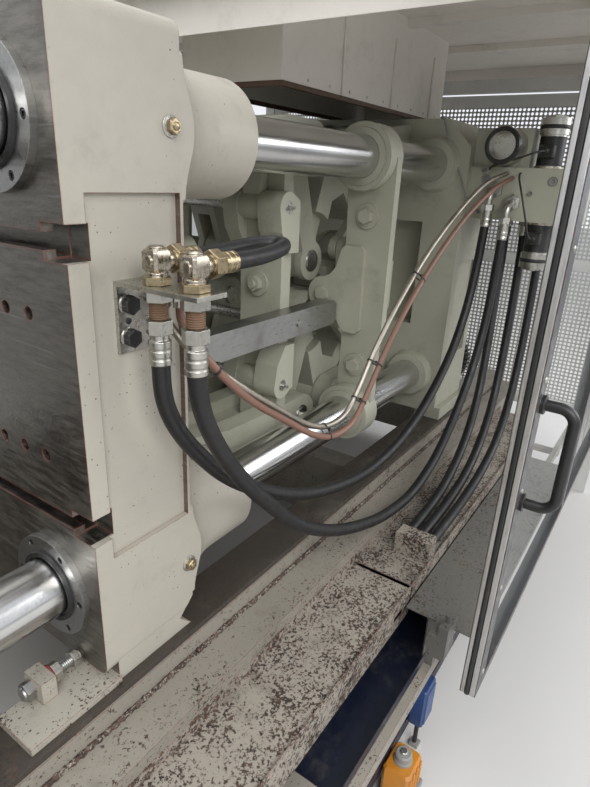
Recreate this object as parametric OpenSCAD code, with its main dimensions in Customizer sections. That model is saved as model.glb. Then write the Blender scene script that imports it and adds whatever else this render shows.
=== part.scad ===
// Horizontal injection moulding machine with a five-point double toggle.
// +X runs from the injection end to the clamp end, -Y is the side with the hoses,
// +Z is up. The origin lies on the floor in the middle of the footprint.

/* [Machine] */
// Overall length of the bed and guards
machine_l = 7400; // [7300:10:7600]
// Height of the clamp and injection axis above the floor
axis_z = 1285; // [1270:5:1300]
// Half width over the guard doors, to the middle of each door leaf
door_y = 1185; // [1170:5:1210]

/* [Platens] */
// Width of each platen across the machine
platen_w = 1190; // [1160:2:1200]
// Height of each platen
platen_h = 1230; // [1200:2:1250]
// Depth of the stationary platen
fixed_t = 320; // [300:5:340]
// Position of the stationary platen's mould face
fixed_face_x = -210; // [-230:5:-190]
// Opening between the mould faces with the clamp open
daylight = 998; // [960:2:1040]
// Depth of the moving platen's plate
moving_t = 252; // [240:2:260]
// Depth of the rear platen's plate
rear_t = 330; // [300:5:350]
// Position of the rear platen's front face
rear_x = 2620; // [2600:5:2640]
// Diameter of the mould fixing holes
fix_hole_d = 24; // [20:1:26]
// Depth of the mould fixing holes
fix_hole_l = 60; // [40:5:80]
// Distance of the fixing hole rows from the clamp axis
fix_row_z = 137; // [130:1:145]
// Distance of the outer fixing holes from the middle
fix_out_y = 470; // [465:1:480]
// Pitch of the fixing holes along a row
fix_pitch = 70; // [66:1:74]
// Distance of the T-slots from the clamp axis
slot_z = 264; // [255:1:275]
// Bore of the locating ring
locating_d = 160; // [150:5:180]

/* [Tie bars] */
// Pitch of the tie bars, both ways
bar_pitch = 890; // [880:2:900]
// Diameter of the tie bars
bar_d = 130; // [120:2:136]
// Diameter of the tie-bar bushes in the moving platen
bush_d = 160; // [154:2:166]
// Diameter of the bush flange on the mould face
bush_flange_d = 226; // [210:2:230]
// Outside diameter of the moving platen's sleeves
sleeve_d = 250; // [240:2:256]
// End of the sleeves behind the mould face
sleeve_l = 512; // [480:4:540]

/* [Toggle] */
// Length of each toggle link between its pins
link_l = 392; // [388:1:396]
// Height of the fixed and platen pins from the clamp axis
pin_h = 460; // [456:1:464]
// Distance between the fixed and platen pins with the clamp open
pins_open = 260; // [250:2:270]
// Position of the platen pins behind the mould face
front_pin_x = 1112; // [1100:2:1120]
// Diameter of the toggle pins
pin_d = 80; // [70:2:90]
// Radius of the link eyes
eye_r = 74; // [70:1:76]
// Inner plane of the links from the middle of the machine
link_in = 130; // [126:1:134]
// Thickness of the links
link_t = 120; // [114:2:124]
// Thickness of the tongue at the knee
tongue_t = 54; // [48:2:60]
// Half width of a link between its eyes
link_half = 46; // [42:1:48]
// Distance of the drive pin from the fixed pin
drive_r = 260; // [255:1:265]
// Angle of the drive ear to the rear link
drive_angle = 60; // [58:1:62]
// Length of the crosshead links
drive_l = 210; // [205:1:215]
// Diameter of the drive pins
drive_pin_d = 50; // [44:2:56]
// Height of the crosshead pins from the clamp axis
cross_pin_h = 130; // [126:1:134]

/* [Crosshead and cylinder] */
// Length of the crosshead beam along the machine
beam_l = 160; // [150:2:170]
// Half height of the crosshead beam
beam_h = 60; // [56:1:62]
// Outside diameter of the guide rings on the tie bars
ring_d = 208; // [200:2:216]
// Length of the guide rings along the tie bars
ring_l = 90; // [80:2:100]
// Bore of the clamp cylinder
cyl_d = 250; // [240:5:270]
// Length of the clamp cylinder barrel
cyl_l = 560; // [540:5:580]
// Diameter of the clamp cylinder rod
rod_d = 110; // [100:2:116]
// Stroke of the ejector
eject_stroke = 120; // [100:5:140]

/* [Bed] */
// Height of the slide rails' top face
rail_z = 635; // [630:1:640]
// Outer edge of the slide rails from the middle
rail_out = 620; // [610:2:630]
// Width of each bed beam
beam_w = 140; // [130:2:160]
// Outer edge of the bed flange from the middle
flange_out = 725; // [715:5:735]
// Outer edge of the drip trays from the middle
tray_out = 925; // [910:5:940]
// Height of the drip trays' floor
tray_z = 506; // [500:2:515]
// Height of the levelling feet
foot_h = 60; // [50:5:70]

/* [Guards] */
// Height of each sliding door
door_h = 1640; // [1600:10:1660]
// Height of the doors' lower edge
door_z = 455; // [445:5:465]
// Place of the near door's leading edge with the door open
door_x = 1410; // [1390:5:1430]
// Height of the roof panels' lower face
roof_z = 2110; // [2100:5:2130]
// Bore of the grille holes in the end guard
grille_d = 76; // [60:2:90]

/* [Injection unit] */
// Outside diameter of the barrel
barrel_d = 170; // [160:2:180]
// Bore of the barrel
screw_bore_d = 80; // [76:1:90]
// Length of the barrel from its seat to the nozzle
barrel_l = 1600; // [1560:10:1640]
// Width of the hopper at its top
hopper_w = 620; // [560:10:660]
// Height of the hopper's upper box
hopper_h = 360; // [320:10:400]
// Diameter of the injection cylinders
inject_d = 190; // [180:5:210]

/* [Hoses] */
// Outside diameter of the ejector hoses
hose_d = 34; // [30:1:36]
// Outside diameter of the conduits
conduit_d = 16; // [14:1:18]

/* [Hidden] */
$fn = 48;
// Clearances: running fits, gaps between moving faces and side play of the links
run = 0.05;
gap = 0.3;
play = 5;
// Places that follow from the sizes above
half_l = machine_l / 2;
foot_xs = [for (k = [-2.5 : 2.5]) k * (machine_l - 400) / 5];
door_l = half_l - 140 - door_x;
door_rail_y = 1050;
moving_x = fixed_face_x + daylight;
b_x = moving_x + front_pin_x;
a_x = b_x + pins_open;
fold = acos(pins_open / 2 / link_l);
k_x = (a_x + b_x) / 2;
k_h = pin_h - link_l * sin(fold);
bar_o = bar_pitch / 2;
eye_in = link_in;
eye_out = link_in + link_t;
ear_t = 70;
ear_in = eye_in - play - ear_t;
ear_out = eye_out + play + ear_t;
tongue_in = (eye_in + eye_out - tongue_t) / 2;
e_x = a_x - drive_r * cos(fold + drive_angle);
e_h = pin_h - drive_r * sin(fold + drive_angle);
f_x = e_x - sqrt(pow(drive_l, 2) - pow(e_h - cross_pin_h, 2));
link2_in = eye_out + 10;
link2_t = 32;
fear_in = link2_in + link2_t + 4;
fear_t = 36;
beam_end = 395;
rear_back = rear_x + rear_t;
beam_x = k_x + eye_r + 26;
base_x = moving_t + 40;
box_x = 712;
box_y = 190;
cheek_x = 948;
cheek_in = 130;
cheek_out = 326;
boss_x = 940;
boss_z = 287;
boss_r = 47;
boss_far = 264;
boss_near = 354;
cross_rod_d = 38;
bar_low = -114;
door_bar = 60;
door_sill_h = 24;
handle_z = [1012, 1246];
arm_x = k_x + 5;
lug_y = 318;
// Places of the hoses, conduits and their fittings
bracket_x = 880;
bracket_w = 70;
bracket_z = 1474;
bracket_t = 8;
elbow_x = bracket_x + bracket_w / 2;
elbow_ys = [-655, -742];
ferrule_z = 1340;
manifold_x = 2650;
manifold_y = [-767, -693];
manifold_elbow_z = [1602, 1646];
hose_a_route = [
    [915, -655, 1340], [918, -658, 1271], [946, -661, 1202], [1001, -664, 1127],
    [1090, -666, 1035], [1210, -667, 949], [1380, -670, 858], [1580, -673, 793],
    [1798, -675, 760], [2023, -678, 784], [2240, -681, 870], [2430, -684, 1015],
    [2535, -687, 1180], [2578, -690, 1350], [2590, -693, 1510]
];
hose_b_route = [
    [915, -742, 1340], [926, -744, 1270], [962, -746, 1190], [1024, -748, 1099],
    [1111, -750, 1001], [1257, -752, 860], [1439, -754, 747], [1665, -755, 655],
    [1850, -756, 612], [2030, -757, 608], [2230, -759, 682], [2410, -761, 840],
    [2520, -763, 1010], [2575, -765, 1200], [2590, -767, 1466]
];
braided_route = [
    [964, -618, 1432], [967, -624, 1400], [992, -664, 1345], [1092, -698, 1255],
    [1219, -702, 1168], [1340, -704, 1090], [1440, -705, 1052], [1533, -705, 1056],
    [1598, -705, 1107], [1683, -705, 1206], [1820, -705, 1331], [2010, -705, 1463],
    [2240, -705, 1580], [2460, -712, 1668], [2650, -730, 1708]
];
red_route = [
    [976, -644, 1432], [979, -652, 1395], [1003, -700, 1325], [1092, -720, 1234],
    [1219, -724, 1146], [1340, -726, 1068], [1440, -727, 1030], [1540, -727, 1036],
    [1612, -727, 1096], [1700, -727, 1196], [1836, -727, 1318], [2026, -727, 1446],
    [2256, -727, 1562], [2470, -740, 1650], [2650, -752, 1692]
];
drop_routes = [
    [[2700, -745, 1475], [2698, -750, 1400], [2680, -758, 1200], [2640, -770, 1000],
     [2570, -784, 820], [2440, -800, 690], [2270, -814, 610], [2080, -824, 570], [1830, -828, 556]],
    [[2780, -800, 1475], [2778, -804, 1400], [2760, -812, 1200], [2715, -822, 990],
     [2635, -834, 800], [2490, -848, 670], [2300, -860, 595], [2090, -866, 564], [1830, -868, 556]],
    [[2860, -855, 1475], [2857, -860, 1400], [2835, -868, 1190], [2785, -878, 980],
     [2690, -888, 780], [2530, -898, 650], [2320, -904, 585], [2100, -907, 562], [1830, -908, 556]]
];
loop_route = [
    [1010, -742, 1522], [1050, -744, 1523], [1100, -744, 1526], [1160, -734, 1532],
    [1196, -712, 1535], [1196, -685, 1535], [1160, -663, 1532], [1100, -653, 1526],
    [1050, -653, 1523], [1010, -655, 1522]
];

// A bar between two places along X, Y or Z
module rod_x(x0, x1, d) {
    translate([x0, 0, 0]) rotate([0, 90, 0]) cylinder(h = x1 - x0, d = d);
}
module rod_y(y0, y1, d) {
    translate([0, y0, 0]) rotate([-90, 0, 0]) cylinder(h = y1 - y0, d = d);
}
module rod_z(z0, z1, d) {
    translate([0, 0, z0]) cylinder(h = z1 - z0, d = d);
}
// Hexagons across flats along X, Y or Z
module hex_x(x0, x1, flats) {
    translate([x0, 0, 0]) rotate([0, 90, 0]) cylinder(h = x1 - x0, d = flats / cos(30), $fn = 6);
}
module hex_y(y0, y1, flats) {
    translate([0, y0, 0]) rotate([-90, 0, 0]) cylinder(h = y1 - y0, d = flats / cos(30), $fn = 6);
}
module hex_z(z0, z1, flats) {
    translate([0, 0, z0]) cylinder(h = z1 - z0, d = flats / cos(30), $fn = 6);
}
// A box between three pairs of places
module block(x0, x1, y0, y1, z0, z1) {
    translate([x0, y0, z0]) cube([x1 - x0, y1 - y0, z1 - z0]);
}
// An outline in Y and Z drawn out along X, and one in X and Z drawn out along Y
module along_x(x0, x1) {
    translate([x0, 0, 0]) rotate([90, 0, 90]) linear_extrude(x1 - x0) children();
}
module along_y(y0, y1) {
    translate([0, y1, 0]) rotate([90, 0, 0]) linear_extrude(y1 - y0) children();
}
// A rectangle with round corners, centred
module rounded(w, h, r) {
    square([w - 2 * r, h], center = true);
    square([w, h - 2 * r], center = true);
    for (x = [-1, 1], y = [-1, 1]) translate([x * (w / 2 - r), y * (h / 2 - r)]) circle(r);
}
module both_sides() {
    children();
    mirror([0, 1, 0]) children();
}
module on_axis() {
    translate([0, 0, axis_z]) children();
}
module at_bars() {
    for (y = [-1, 1], z = [-1, 1]) translate([0, y * bar_o, axis_z + z * bar_o]) children();
}
// Upper toggle as drawn, or its mirror image below the clamp axis
module level(side) {
    translate([0, 0, axis_z]) mirror([0, 0, side > 0 ? 0 : 1]) children();
}
// A ring on a row of sizes turned about X
module ring_x(x0, x1, outer, inner) {
    difference() {
        rod_x(x0, x1, outer);
        rod_x(x0 - 1, x1 + 1, inner);
    }
}

// Points along a route, smooth through the chosen points
function blend4(a, b, c, d, t) =
    0.5 * (2 * b + (c - a) * t + (2 * a - 5 * b + 4 * c - d) * t * t
           + (3 * b - a - 3 * c + d) * t * t * t);
function knot(p, i) = p[max(0, min(len(p) - 1, i))];
function smooth(p, n) = concat([
    for (i = [0 : len(p) - 2], s = [0 : n - 1])
        blend4(knot(p, i - 1), p[i], p[i + 1], knot(p, i + 2), s / n)
], [p[len(p) - 1]]);
function unit(v) = v / norm(v);
function heading(p, i) = unit(knot(p, i + 1) - knot(p, i - 1));
function side_of(t) = unit(cross(t, abs(t[1]) < 0.9 ? [0, 1, 0] : [1, 0, 0]));
// A tube of the given diameter along a route: n rings for each chosen point, and its
// two ends square to the directions in which it leaves and arrives
module tube(route, d, n, sides, leaving, arriving) {
    p = smooth(route, n);
    rings = [for (i = [0 : len(p) - 1])
        let (t = i == 0 ? leaving : i == len(p) - 1 ? arriving : heading(p, i),
             u = side_of(t), w = cross(t, u))
            for (k = [0 : sides - 1])
                p[i] + (u * cos(360 * k / sides) + w * sin(360 * k / sides)) * d / 2];
    last = (len(p) - 1) * sides;
    faces = concat(
        [[for (k = [0 : sides - 1]) k]],
        [[for (k = [sides - 1 : -1 : 0]) last + k]],
        [for (i = [0 : len(p) - 2], k = [0 : sides - 1])
            [i * sides + k, (i + 1) * sides + k,
             (i + 1) * sides + (k + 1) % sides, i * sides + (k + 1) % sides]]
    );
    polyhedron(points = rings, faces = faces, convexity = 6);
}

// Bed: two box beams on the floor side, a flange along each side and cross members
module bed_frame() {
    beam_top = rail_z - 15;
    color("antiquewhite") {
        both_sides() {
            difference() {
                block(-half_l, half_l - 60, rail_out - beam_w, rail_out, 120, beam_top);
                for (x = [-half_l + 160 : 480 : half_l - 600])
                    block(x, x + 380, rail_out - beam_w + 30, rail_out + 1, 180, 380);
            }
            block(-720, half_l - 60, rail_out, flange_out, 545, 565);
            block(-720, half_l - 60, flange_out - 16, flange_out, 470, 545);
            block(-half_l, half_l - 60, rail_out - beam_w - 20, flange_out, 100, 120);
            for (x = [-700 : 560 : half_l - 260])
                block(x, x + 16, rail_out, flange_out - 16, 400, 545);
            for (x = foot_xs)
                block(x - 90, x + 90, 460, 700, foot_h, 100);
        }
        for (x = [-half_l, -2500, -1300, -600, 1180, 2300, half_l - 180])
            block(x, x + 120, -(rail_out - beam_w), rail_out - beam_w, 130, 430);
        both_sides() for (x = [-300, 1000, 2100, half_l - 400])
            block(x, x + 50, rail_out - beam_w + 20, door_rail_y + 12, 330, 350);
        both_sides() block(-460, half_l - 60, door_rail_y - 12, door_rail_y + 12, 350, 392);
    }
}

// Hardened strips that the platens and the injection carriage slide on
module slide_rails() {
    color("dimgray") both_sides() {
        block(-720, rear_back + 60, rail_out - beam_w + 8, rail_out - 4, rail_z - 15, rail_z);
        block(-3560, -1240, rail_out - beam_w + 8, rail_out - 4, rail_z - 15, rail_z);
    }
}

// Folded sheet trays beside the bed flange, with a slot near the first one's end, and
// the clamp on the near tray where the drop hoses end
module tray(x0, x1) {
    difference() {
        union() {
            block(x0, x1, flange_out, tray_out, tray_z - 4, tray_z);
            block(x0, x1, tray_out, tray_out + 4, tray_z - 91, tray_z + 9);
            block(x0, x1, flange_out, flange_out + 4, tray_z - 4, tray_z + 24);
        }
        block(x1 - 110, x1 - 50, tray_out - 1, tray_out + 5, tray_z - 58, tray_z - 34);
    }
}
module drip_trays() {
    color("rosybrown") both_sides() {
        tray(-700, 1630);
        tray(1646, 3300);
    }
    color("dimgray") mirror([0, 1, 0]) difference() {
        block(1770, 1830, 804, 924, tray_z, tray_z + 76);
        for (y = [848, 888]) translate([0, y, tray_z + 66]) rod_x(1760, 1840, 9);
    }
}

module levelling_feet() {
    color("slategray") both_sides() for (x = foot_xs)
        translate([x, 580, 0]) {
            cylinder(h = 22, d = 170);
            rod_z(22, 46, 48);
            hex_z(46, foot_h, 70);
        }
}

// A row of holes for the mould bolts, and the T-slots beside them
module fixing_holes(x0, x1) {
    for (side = [-1, 1], k = [0 : 2], z = [-1, 1])
        translate([0, side * (fix_out_y - k * fix_pitch), z * fix_row_z])
            rod_x(x0, x1, fix_hole_d);
    for (y = [-140, 0, 140], z = [-196, 196])
        translate([0, y, z]) rod_x(x0, x1, fix_hole_d);
}
// T-slot cut into a face at x = 0, reaching towards +X, with a pocket at each side
module t_slot() {
    w = platen_w / 2;
    block(-1, 25, -w - 1, w + 1, -14, 14);
    block(24, 50, -w - 1, w + 1, -26, 26);
    both_sides() block(-1, 52, w - 62, w + 1, -30, 30);
}
// Outline of a platen across the machine
module platen_face() {
    rounded(platen_w, platen_h, 26);
}

module stationary_platen() {
    back = fixed_face_x - fixed_t;
    color("antiquewhite") {
        on_axis() difference() {
            union() {
                along_x(back, fixed_face_x) platen_face();
                both_sides() block(back + 20, fixed_face_x - 60, rail_out - beam_w + 6,
                                   rail_out - 10, rail_z - axis_z, -platen_h / 2 + 20);
            }
            for (y = [-1, 1], z = [-1, 1]) translate([0, y * bar_o, z * bar_o])
                rod_x(back - 1, fixed_face_x + 1, bar_d + 2 * run);
            rod_x(fixed_face_x - 22, fixed_face_x + 1, locating_d + 60);
            rod_x(back - 1, fixed_face_x, 90);
            translate([back - 1, 0, 0]) rotate([0, 90, 0]) cylinder(h = 262, d1 = 380, d2 = 200);
            translate([fixed_face_x, 0, 0]) mirror([1, 0, 0]) {
                fixing_holes(-1, fix_hole_l);
                for (z = [-1, 1]) translate([0, 0, z * slot_z]) t_slot();
            }
            for (y = [-1, 1]) translate([0, y * 250, 0]) rod_x(back - 1, back + 90, 60);
            both_sides() block(back + 60, fixed_face_x - 60, platen_w / 2 - 14,
                               platen_w / 2 + 1, -330, 330);
        }
    }
}

module locating_ring() {
    color("silver") on_axis() difference() {
        rod_x(fixed_face_x - 22, fixed_face_x - 2, locating_d + 60);
        rod_x(fixed_face_x - 23, fixed_face_x, locating_d);
        for (a = [45 : 90 : 315]) rotate([a, 0, 0]) translate([0, 0, locating_d / 2 + 15])
            rod_x(fixed_face_x - 12, fixed_face_x, 14);
    }
}

module tie_bars() {
    front = fixed_face_x - fixed_t - 170;
    color("lightsteelblue") at_bars() {
        rod_x(front + 8, rear_back + 232, bar_d);
        translate([front, 0, 0]) rotate([0, 90, 0]) cylinder(h = 8, d1 = bar_d - 16, d2 = bar_d);
        translate([rear_back + 232, 0, 0]) rotate([0, 90, 0])
            cylinder(h = 8, d1 = bar_d, d2 = bar_d - 16);
    }
}

// Front nuts behind the stationary platen, and the geared nuts that set the mould height
module gear_ring(outer, tooth, n) {
    circle(d = outer - 2 * tooth);
    for (k = [0 : n - 1]) rotate(360 * k / n)
        translate([outer / 2 - tooth - 2, -4]) square([tooth + 2, 8]);
}
module tie_bar_nuts() {
    front = fixed_face_x - fixed_t;
    color("slategray") at_bars() {
        difference() {
            union() {
                rod_x(front - 120, front, 224);
                rod_x(front - 134, front - 120, 190);
            }
            rod_x(front - 135, front + 1, bar_d + 2 * run);
            for (a = [0 : 60 : 300]) rotate([a, 0, 0]) translate([0, 0, 112])
                rod_x(front - 121, front - 60, 20);
        }
        difference() {
            union() {
                rod_x(rear_back, rear_back + 120, 230);
                translate([rear_back + 40, 0, 0]) rotate([0, 90, 0]) linear_extrude(44)
                    gear_ring(300, 12, 40);
            }
            rod_x(rear_back - 1, rear_back + 121, bar_d + 2 * run);
        }
    }
}

// Ear plate of a toggle pin: a boss at the pin and a tapered web back to the platen
module ear_outline(pin_x, root_x, root_low, root_high) {
    s = root_x > pin_x ? 1 : -1;
    translate([pin_x, pin_h]) circle(r = eye_r + 8);
    polygon([
        [pin_x, pin_h - eye_r - 8], [pin_x, pin_h + eye_r + 8],
        [pin_x + s * 90, pin_h + eye_r + 8], [root_x, root_high], [root_x, root_low]
    ]);
}
module ears(pin_x, root_x, root_low, root_high) {
    both_sides() for (side = [-1, 1]) level(side) difference() {
        for (y = [ear_in, eye_out + play])
            along_y(y, y + ear_t) ear_outline(pin_x, root_x, root_low, root_high);
        translate([pin_x, 0, pin_h]) rod_y(ear_in - 1, ear_out + 1, pin_d + 2 * run);
    }
}
// Pins with a retaining plate at each outer end
module toggle_pins(pin_x) {
    color("silver") both_sides() for (side = [-1, 1]) level(side) translate([pin_x, 0, pin_h]) {
        rod_y(ear_in - 12, ear_out, pin_d);
        rod_y(ear_out, ear_out + 6, pin_d - 14);
        hex_y(ear_out + 6, ear_out + 14, 30);
    }
}

module rear_platen() {
    w = platen_w / 2 - 10;
    h = platen_h / 2;
    cut = 120;
    color("antiquewhite") difference() {
        union() {
            on_axis() {
                along_x(rear_x, rear_back) difference() {
                    rounded(2 * w, 2 * h, 30);
                    for (y = [-1, 1]) translate([y * w, h]) rotate(45) square(cut * 1.2, center = true);
                }
                for (y = [-1, 1], z = [-1, 1]) translate([0, y * bar_o, z * bar_o])
                    rotate([0, 90, 0]) translate([0, 0, rear_x - 40]) cylinder(h = 41, d1 = 190, d2 = 214);
                both_sides() block(rear_x + 20, rear_back - 20, rail_out - beam_w + 6,
                                   rail_out - 14, rail_z - axis_z, -h + 20);
            }
            both_sides() for (side = [-1, 1]) level(side)
                block(rear_x - 130, rear_x + 1, ear_in, ear_out, pin_h - eye_r - 20, pin_h + eye_r + 30);
            ears(a_x, rear_x + 1, pin_h - eye_r - 30, pin_h + eye_r + 60);
        }
        at_bars() rod_x(rear_x - 50, rear_back + 1, bar_d + 2 * run);
        on_axis() {
            rod_x(rear_x - 1, rear_back + 1, rod_d + 24);
            rod_x(rear_x - 1, rear_x + 60, 300);
            for (y = [-1, 1]) translate([0, y * 330, 0]) block(rear_x - 1, rear_x + 90, -90, 90, -220, 220);
            both_sides() block(rear_x + 50, rear_back - 50, w - 16, w + 1, -360, 60);
        }
    }
}
module rear_toggle_pins() {
    toggle_pins(a_x);
}

// Clamp cylinder: flange on the rear platen, barrel, end cap and four tie rods
module clamp_cylinder() {
    x1 = rear_back;
    x2 = rear_back + cyl_l;
    color("beige") on_axis() difference() {
        union() {
            along_x(x1, x1 + 60) rounded(400, 400, 40);
            rod_x(x1 + 60, x2 - 50, cyl_d + 50);
            along_x(x2 - 50, x2) rounded(340, 340, 40);
            for (y = [-1, 1], z = [-1, 1]) translate([0, y * 140, z * 140]) {
                rod_x(x1 + 59, x2 - 49, 30);
                hex_x(x2, x2 + 24, 46);
            }
            for (x = [x1 + 95, x2 - 85]) translate([x, 0, 0]) {
                rod_z(cyl_d / 2, cyl_d / 2 + 60, 80);
                rod_z(cyl_d / 2 + 60, cyl_d / 2 + 84, 56);
            }
        }
        rod_x(x1 - 1, x1 + 61, rod_d + 2 * run);
        rod_x(x1 + 60, x2 - 30, cyl_d);
    }
}
module cylinder_rod() {
    x1 = beam_x + beam_l;
    x2 = rear_back + cyl_l - 34;
    color("lightsteelblue") on_axis() {
        rod_x(x1, x2 - 60, rod_d);
        rod_x(x2 - 60, x2, cyl_d - 2 * run);
    }
}

// Valve manifold on the side of the rear platen
module valve_manifold() {
    y1 = -(platen_w / 2 - 10);
    color("beige") difference() {
        union() {
            block(manifold_x, manifold_x + 260, -1000, y1, axis_z + 250, axis_z + 445);
            block(manifold_x + 20, manifold_x + 200, -800, y1, axis_z + 445, axis_z + 585);
        }
        for (k = [0, 1]) translate([0, manifold_y[k], manifold_elbow_z[k]])
            rod_x(manifold_x - 1, manifold_x + 40, 22);
        translate([0, -650, axis_z + 400]) rod_x(manifold_x - 1, manifold_x + 8, 34);
        translate([0, -900, axis_z + 400]) rod_x(manifold_x - 1, manifold_x + 8, 34);
        translate([manifold_x + 110, -690, axis_z + 515]) rod_x(-111, 0, 30);
    }
}
// Solenoid valves above and below the manifold, and the dark pilot cover behind them
module valve_can(len) {
    cylinder(h = len, d = 92);
    rod_z(len, len + 58, 104);
    hex_z(len + 58, len + 66, 60);
}
module manifold_valves() {
    top = axis_z + 445;
    low = axis_z + 250;
    color("silver") {
        translate([manifold_x + 70, -860, top]) valve_can(118);
        translate([manifold_x + 70, -870, low]) mirror([0, 0, 1]) valve_can(118);
        translate([manifold_x + 200, -930, low]) mirror([0, 0, 1]) valve_can(70);
    }
    color("dimgray") translate([0, -720, top + 72]) difference() {
        rod_x(manifold_x - 90, manifold_x + 20, 132);
        rod_x(manifold_x - 91, manifold_x - 30, 96);
    }
}
// Bent steel elbow: from a flange facing -X down to a swaged ferrule
module elbow(x, y, z, drop) {
    bend = 38;
    translate([x, y, z]) {
        rod_x(-14, 0, 54);
        rod_x(-22, -14, 40);
        translate([-22, 0, -bend]) rotate([90, 0, 0]) rotate([0, 0, 90])
            rotate_extrude(angle = 90) translate([bend, 0]) circle(d = 26);
        translate([-22 - bend, 0, 0]) {
            rod_z(-drop + 62, -bend, 26);
            rod_z(-drop, -drop + 62, hose_d + 6);
        }
    }
}
module manifold_fittings() {
    color("gainsboro") {
        elbow(manifold_x, -693, 1646, 136);
        elbow(manifold_x, -767, 1602, 136);
        for (r = drop_routes) translate([r[0][0], r[0][1], 0]) {
            rod_z(r[0][2], r[0][2] + 60, hose_d + 8);
        }
    }
}

// Frame and perforated sheet that close the clamp end
module end_guard() {
    x = half_l - 60;
    w = 1130;
    low = door_z;
    high = roof_z;
    color("gainsboro") {
        for (y = [-w, w - 60]) block(x, half_l, y, y + 60, 0, high);
        for (z = [low, (low + high) / 2 - 30, high - 60]) block(x, half_l, -w + 60, w - 60, z, z + 60);
        difference() {
            block(x, x + 4, -w + 20, w - 20, low, high);
            for (k = [0 : 11], n = [0 : 9])
                translate([0, (k - 5.5) * 172, low + 110 + n * (high - low - 220) / 9])
                    rod_x(x - 1, x + 5, grille_d);
        }
    }
}

// Posts beside the stationary platen and the beams that the doors hang from
module guard_frame() {
    top = door_z + door_h + gap;
    color("whitesmoke") both_sides() {
        block(-640, half_l - 60, door_y - 45, door_y + 25, top, top + 90);
        block(-640, -570, door_y - 45, door_y + 25, 0, top);
        block(half_l - 60, half_l - 5, door_y - 50, door_y + 20, 0, top + 90);
        block(-640, -570, platen_w / 2 + 19, door_y - 45, 1200, 1260);
        block(-640, -480, platen_w / 2, platen_w / 2 + 20, 1200, 1260);
    }
    color("whitesmoke") for (x = [-640, 1480, half_l - 130])
        block(x, x + 60, -door_y + 45, door_y - 45, top + 20, top + 80);
}

// Roof over the toggle: folded front fascia, ribbed sheets and a duct below it
module roof_panels() {
    top = door_z + door_h + gap + 90;
    fascia_z = 2004;
    duct_x0 = 1759;
    duct_x1 = 3012;
    duct_z = 1915;
    color("whitesmoke") {
        difference() {
            block(1540, half_l - 20, -door_y + 20, door_y - 20, top, top + 60);
            block(1543, half_l - 23, -door_y + 23, door_y - 23, top - 1, top + 57);
        }
        for (x = [2050 : 520 : 3500]) block(x, x + 40, -door_y + 23, door_y - 23, top + 30, top + 57);
        block(1540, 1543, -door_y + 50, door_y - 50, fascia_z, top);
        difference() {
            block(duct_x0, duct_x1, -285, 107, duct_z, top + 57);
            block(duct_x0 + 3, duct_x1 - 3, -282, 104, duct_z - 1, top + 56);
        }
    }
}

// Sliding shoes in front of the moving platen, each with its adjusting screw and nuts
module shoe_screws() {
    x = moving_x - 128;
    y = 500;
    z = rail_z + 40;
    color("firebrick") both_sides() {
        block(moving_x - 180, moving_x + 30, rail_out - beam_w + 6, rail_out - 18,
              rail_z + gap, rail_z + 16);
        block(x + 18, x + 52, y - 26, y + 34, rail_z + 15, rail_z + 66);
        translate([0, y, z]) {
            hex_x(x, x + 18, 36);
            rod_x(x + 52, x + 60, 40);
            hex_x(x + 60, x + 78, 36);
            rod_x(x + 78, x + 127, 20);
            hex_x(x + 106, x + 120, 32);
        }
    }
}

// Folded sill plates between the trays and the doors, on the cabinets, and the switch
// of the near door
module door_sill() {
    color("gainsboro") {
        block(1500, 1580, -door_rail_y - 12, -door_rail_y + 12, 392, 500);
        block(1505, 1575, -door_rail_y - 40, -door_rail_y - 12, 420, 530);
        translate([1540, -door_rail_y - 26, 0]) rod_z(530, 552, 16);
    }
    color("gainsboro") both_sides() {
        block(1590, 2890, tray_out + 10, 1150, 466, 470);
        difference() {
            block(1590, 2890, 1004, 1008, 322, 466);
            block(2096, 2154, 1003, 1009, 321, 354);
        }
        block(1590, 2890, 1146, 1150, 440, 466);
    }
}

// Tank and control cabinets under the trays
module base_cabinet() {
    color("navy") both_sides() {
        difference() {
            block(1000, 2900, flange_out + 10, 1010, foot_h + 20, 322);
            for (x = [1040 : 470 : 2700]) block(x, x + 430, 1007, 1011, foot_h + 60, 290);
        }
        for (x = [1040, 2820]) block(x, x + 40, flange_out + 20, 990, 0, foot_h + 20);
        block(1000, 2900, rail_out, flange_out + 10, 130, 180);
    }
}

module drop_hose_1() {
    color("black") tube(drop_routes[0], hose_d, 2, 10, [0, 0, -1], [-1, 0, 0]);
}
module drop_hose_2() {
    color("black") tube(drop_routes[1], hose_d, 2, 10, [0, 0, -1], [-1, 0, 0]);
}
module drop_hose_3() {
    color("black") tube(drop_routes[2], hose_d, 2, 10, [0, 0, -1], [-1, 0, 0]);
}
module hose_a() {
    color("black") tube(hose_a_route, hose_d, 2, 10, [0, 0, -1], [0, 0, 1]);
}
module hose_b() {
    color("black") tube(hose_b_route, hose_d, 2, 10, [0, 0, -1], [0, 0, 1]);
}
module conduit_braided() {
    color("silver") tube(braided_route, conduit_d, 4, 8, [0, 0, -1], [1, 0, 0]);
}
module conduit_red() {
    color("rosybrown") tube(red_route, conduit_d, 4, 8, [0, 0, -1], [1, 0, 0]);
}
module loop_hose() {
    color("black") tube(loop_route, hose_d - 4, 2, 10, [1, 0, 0], [-1, 0, 0]);
}

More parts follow.
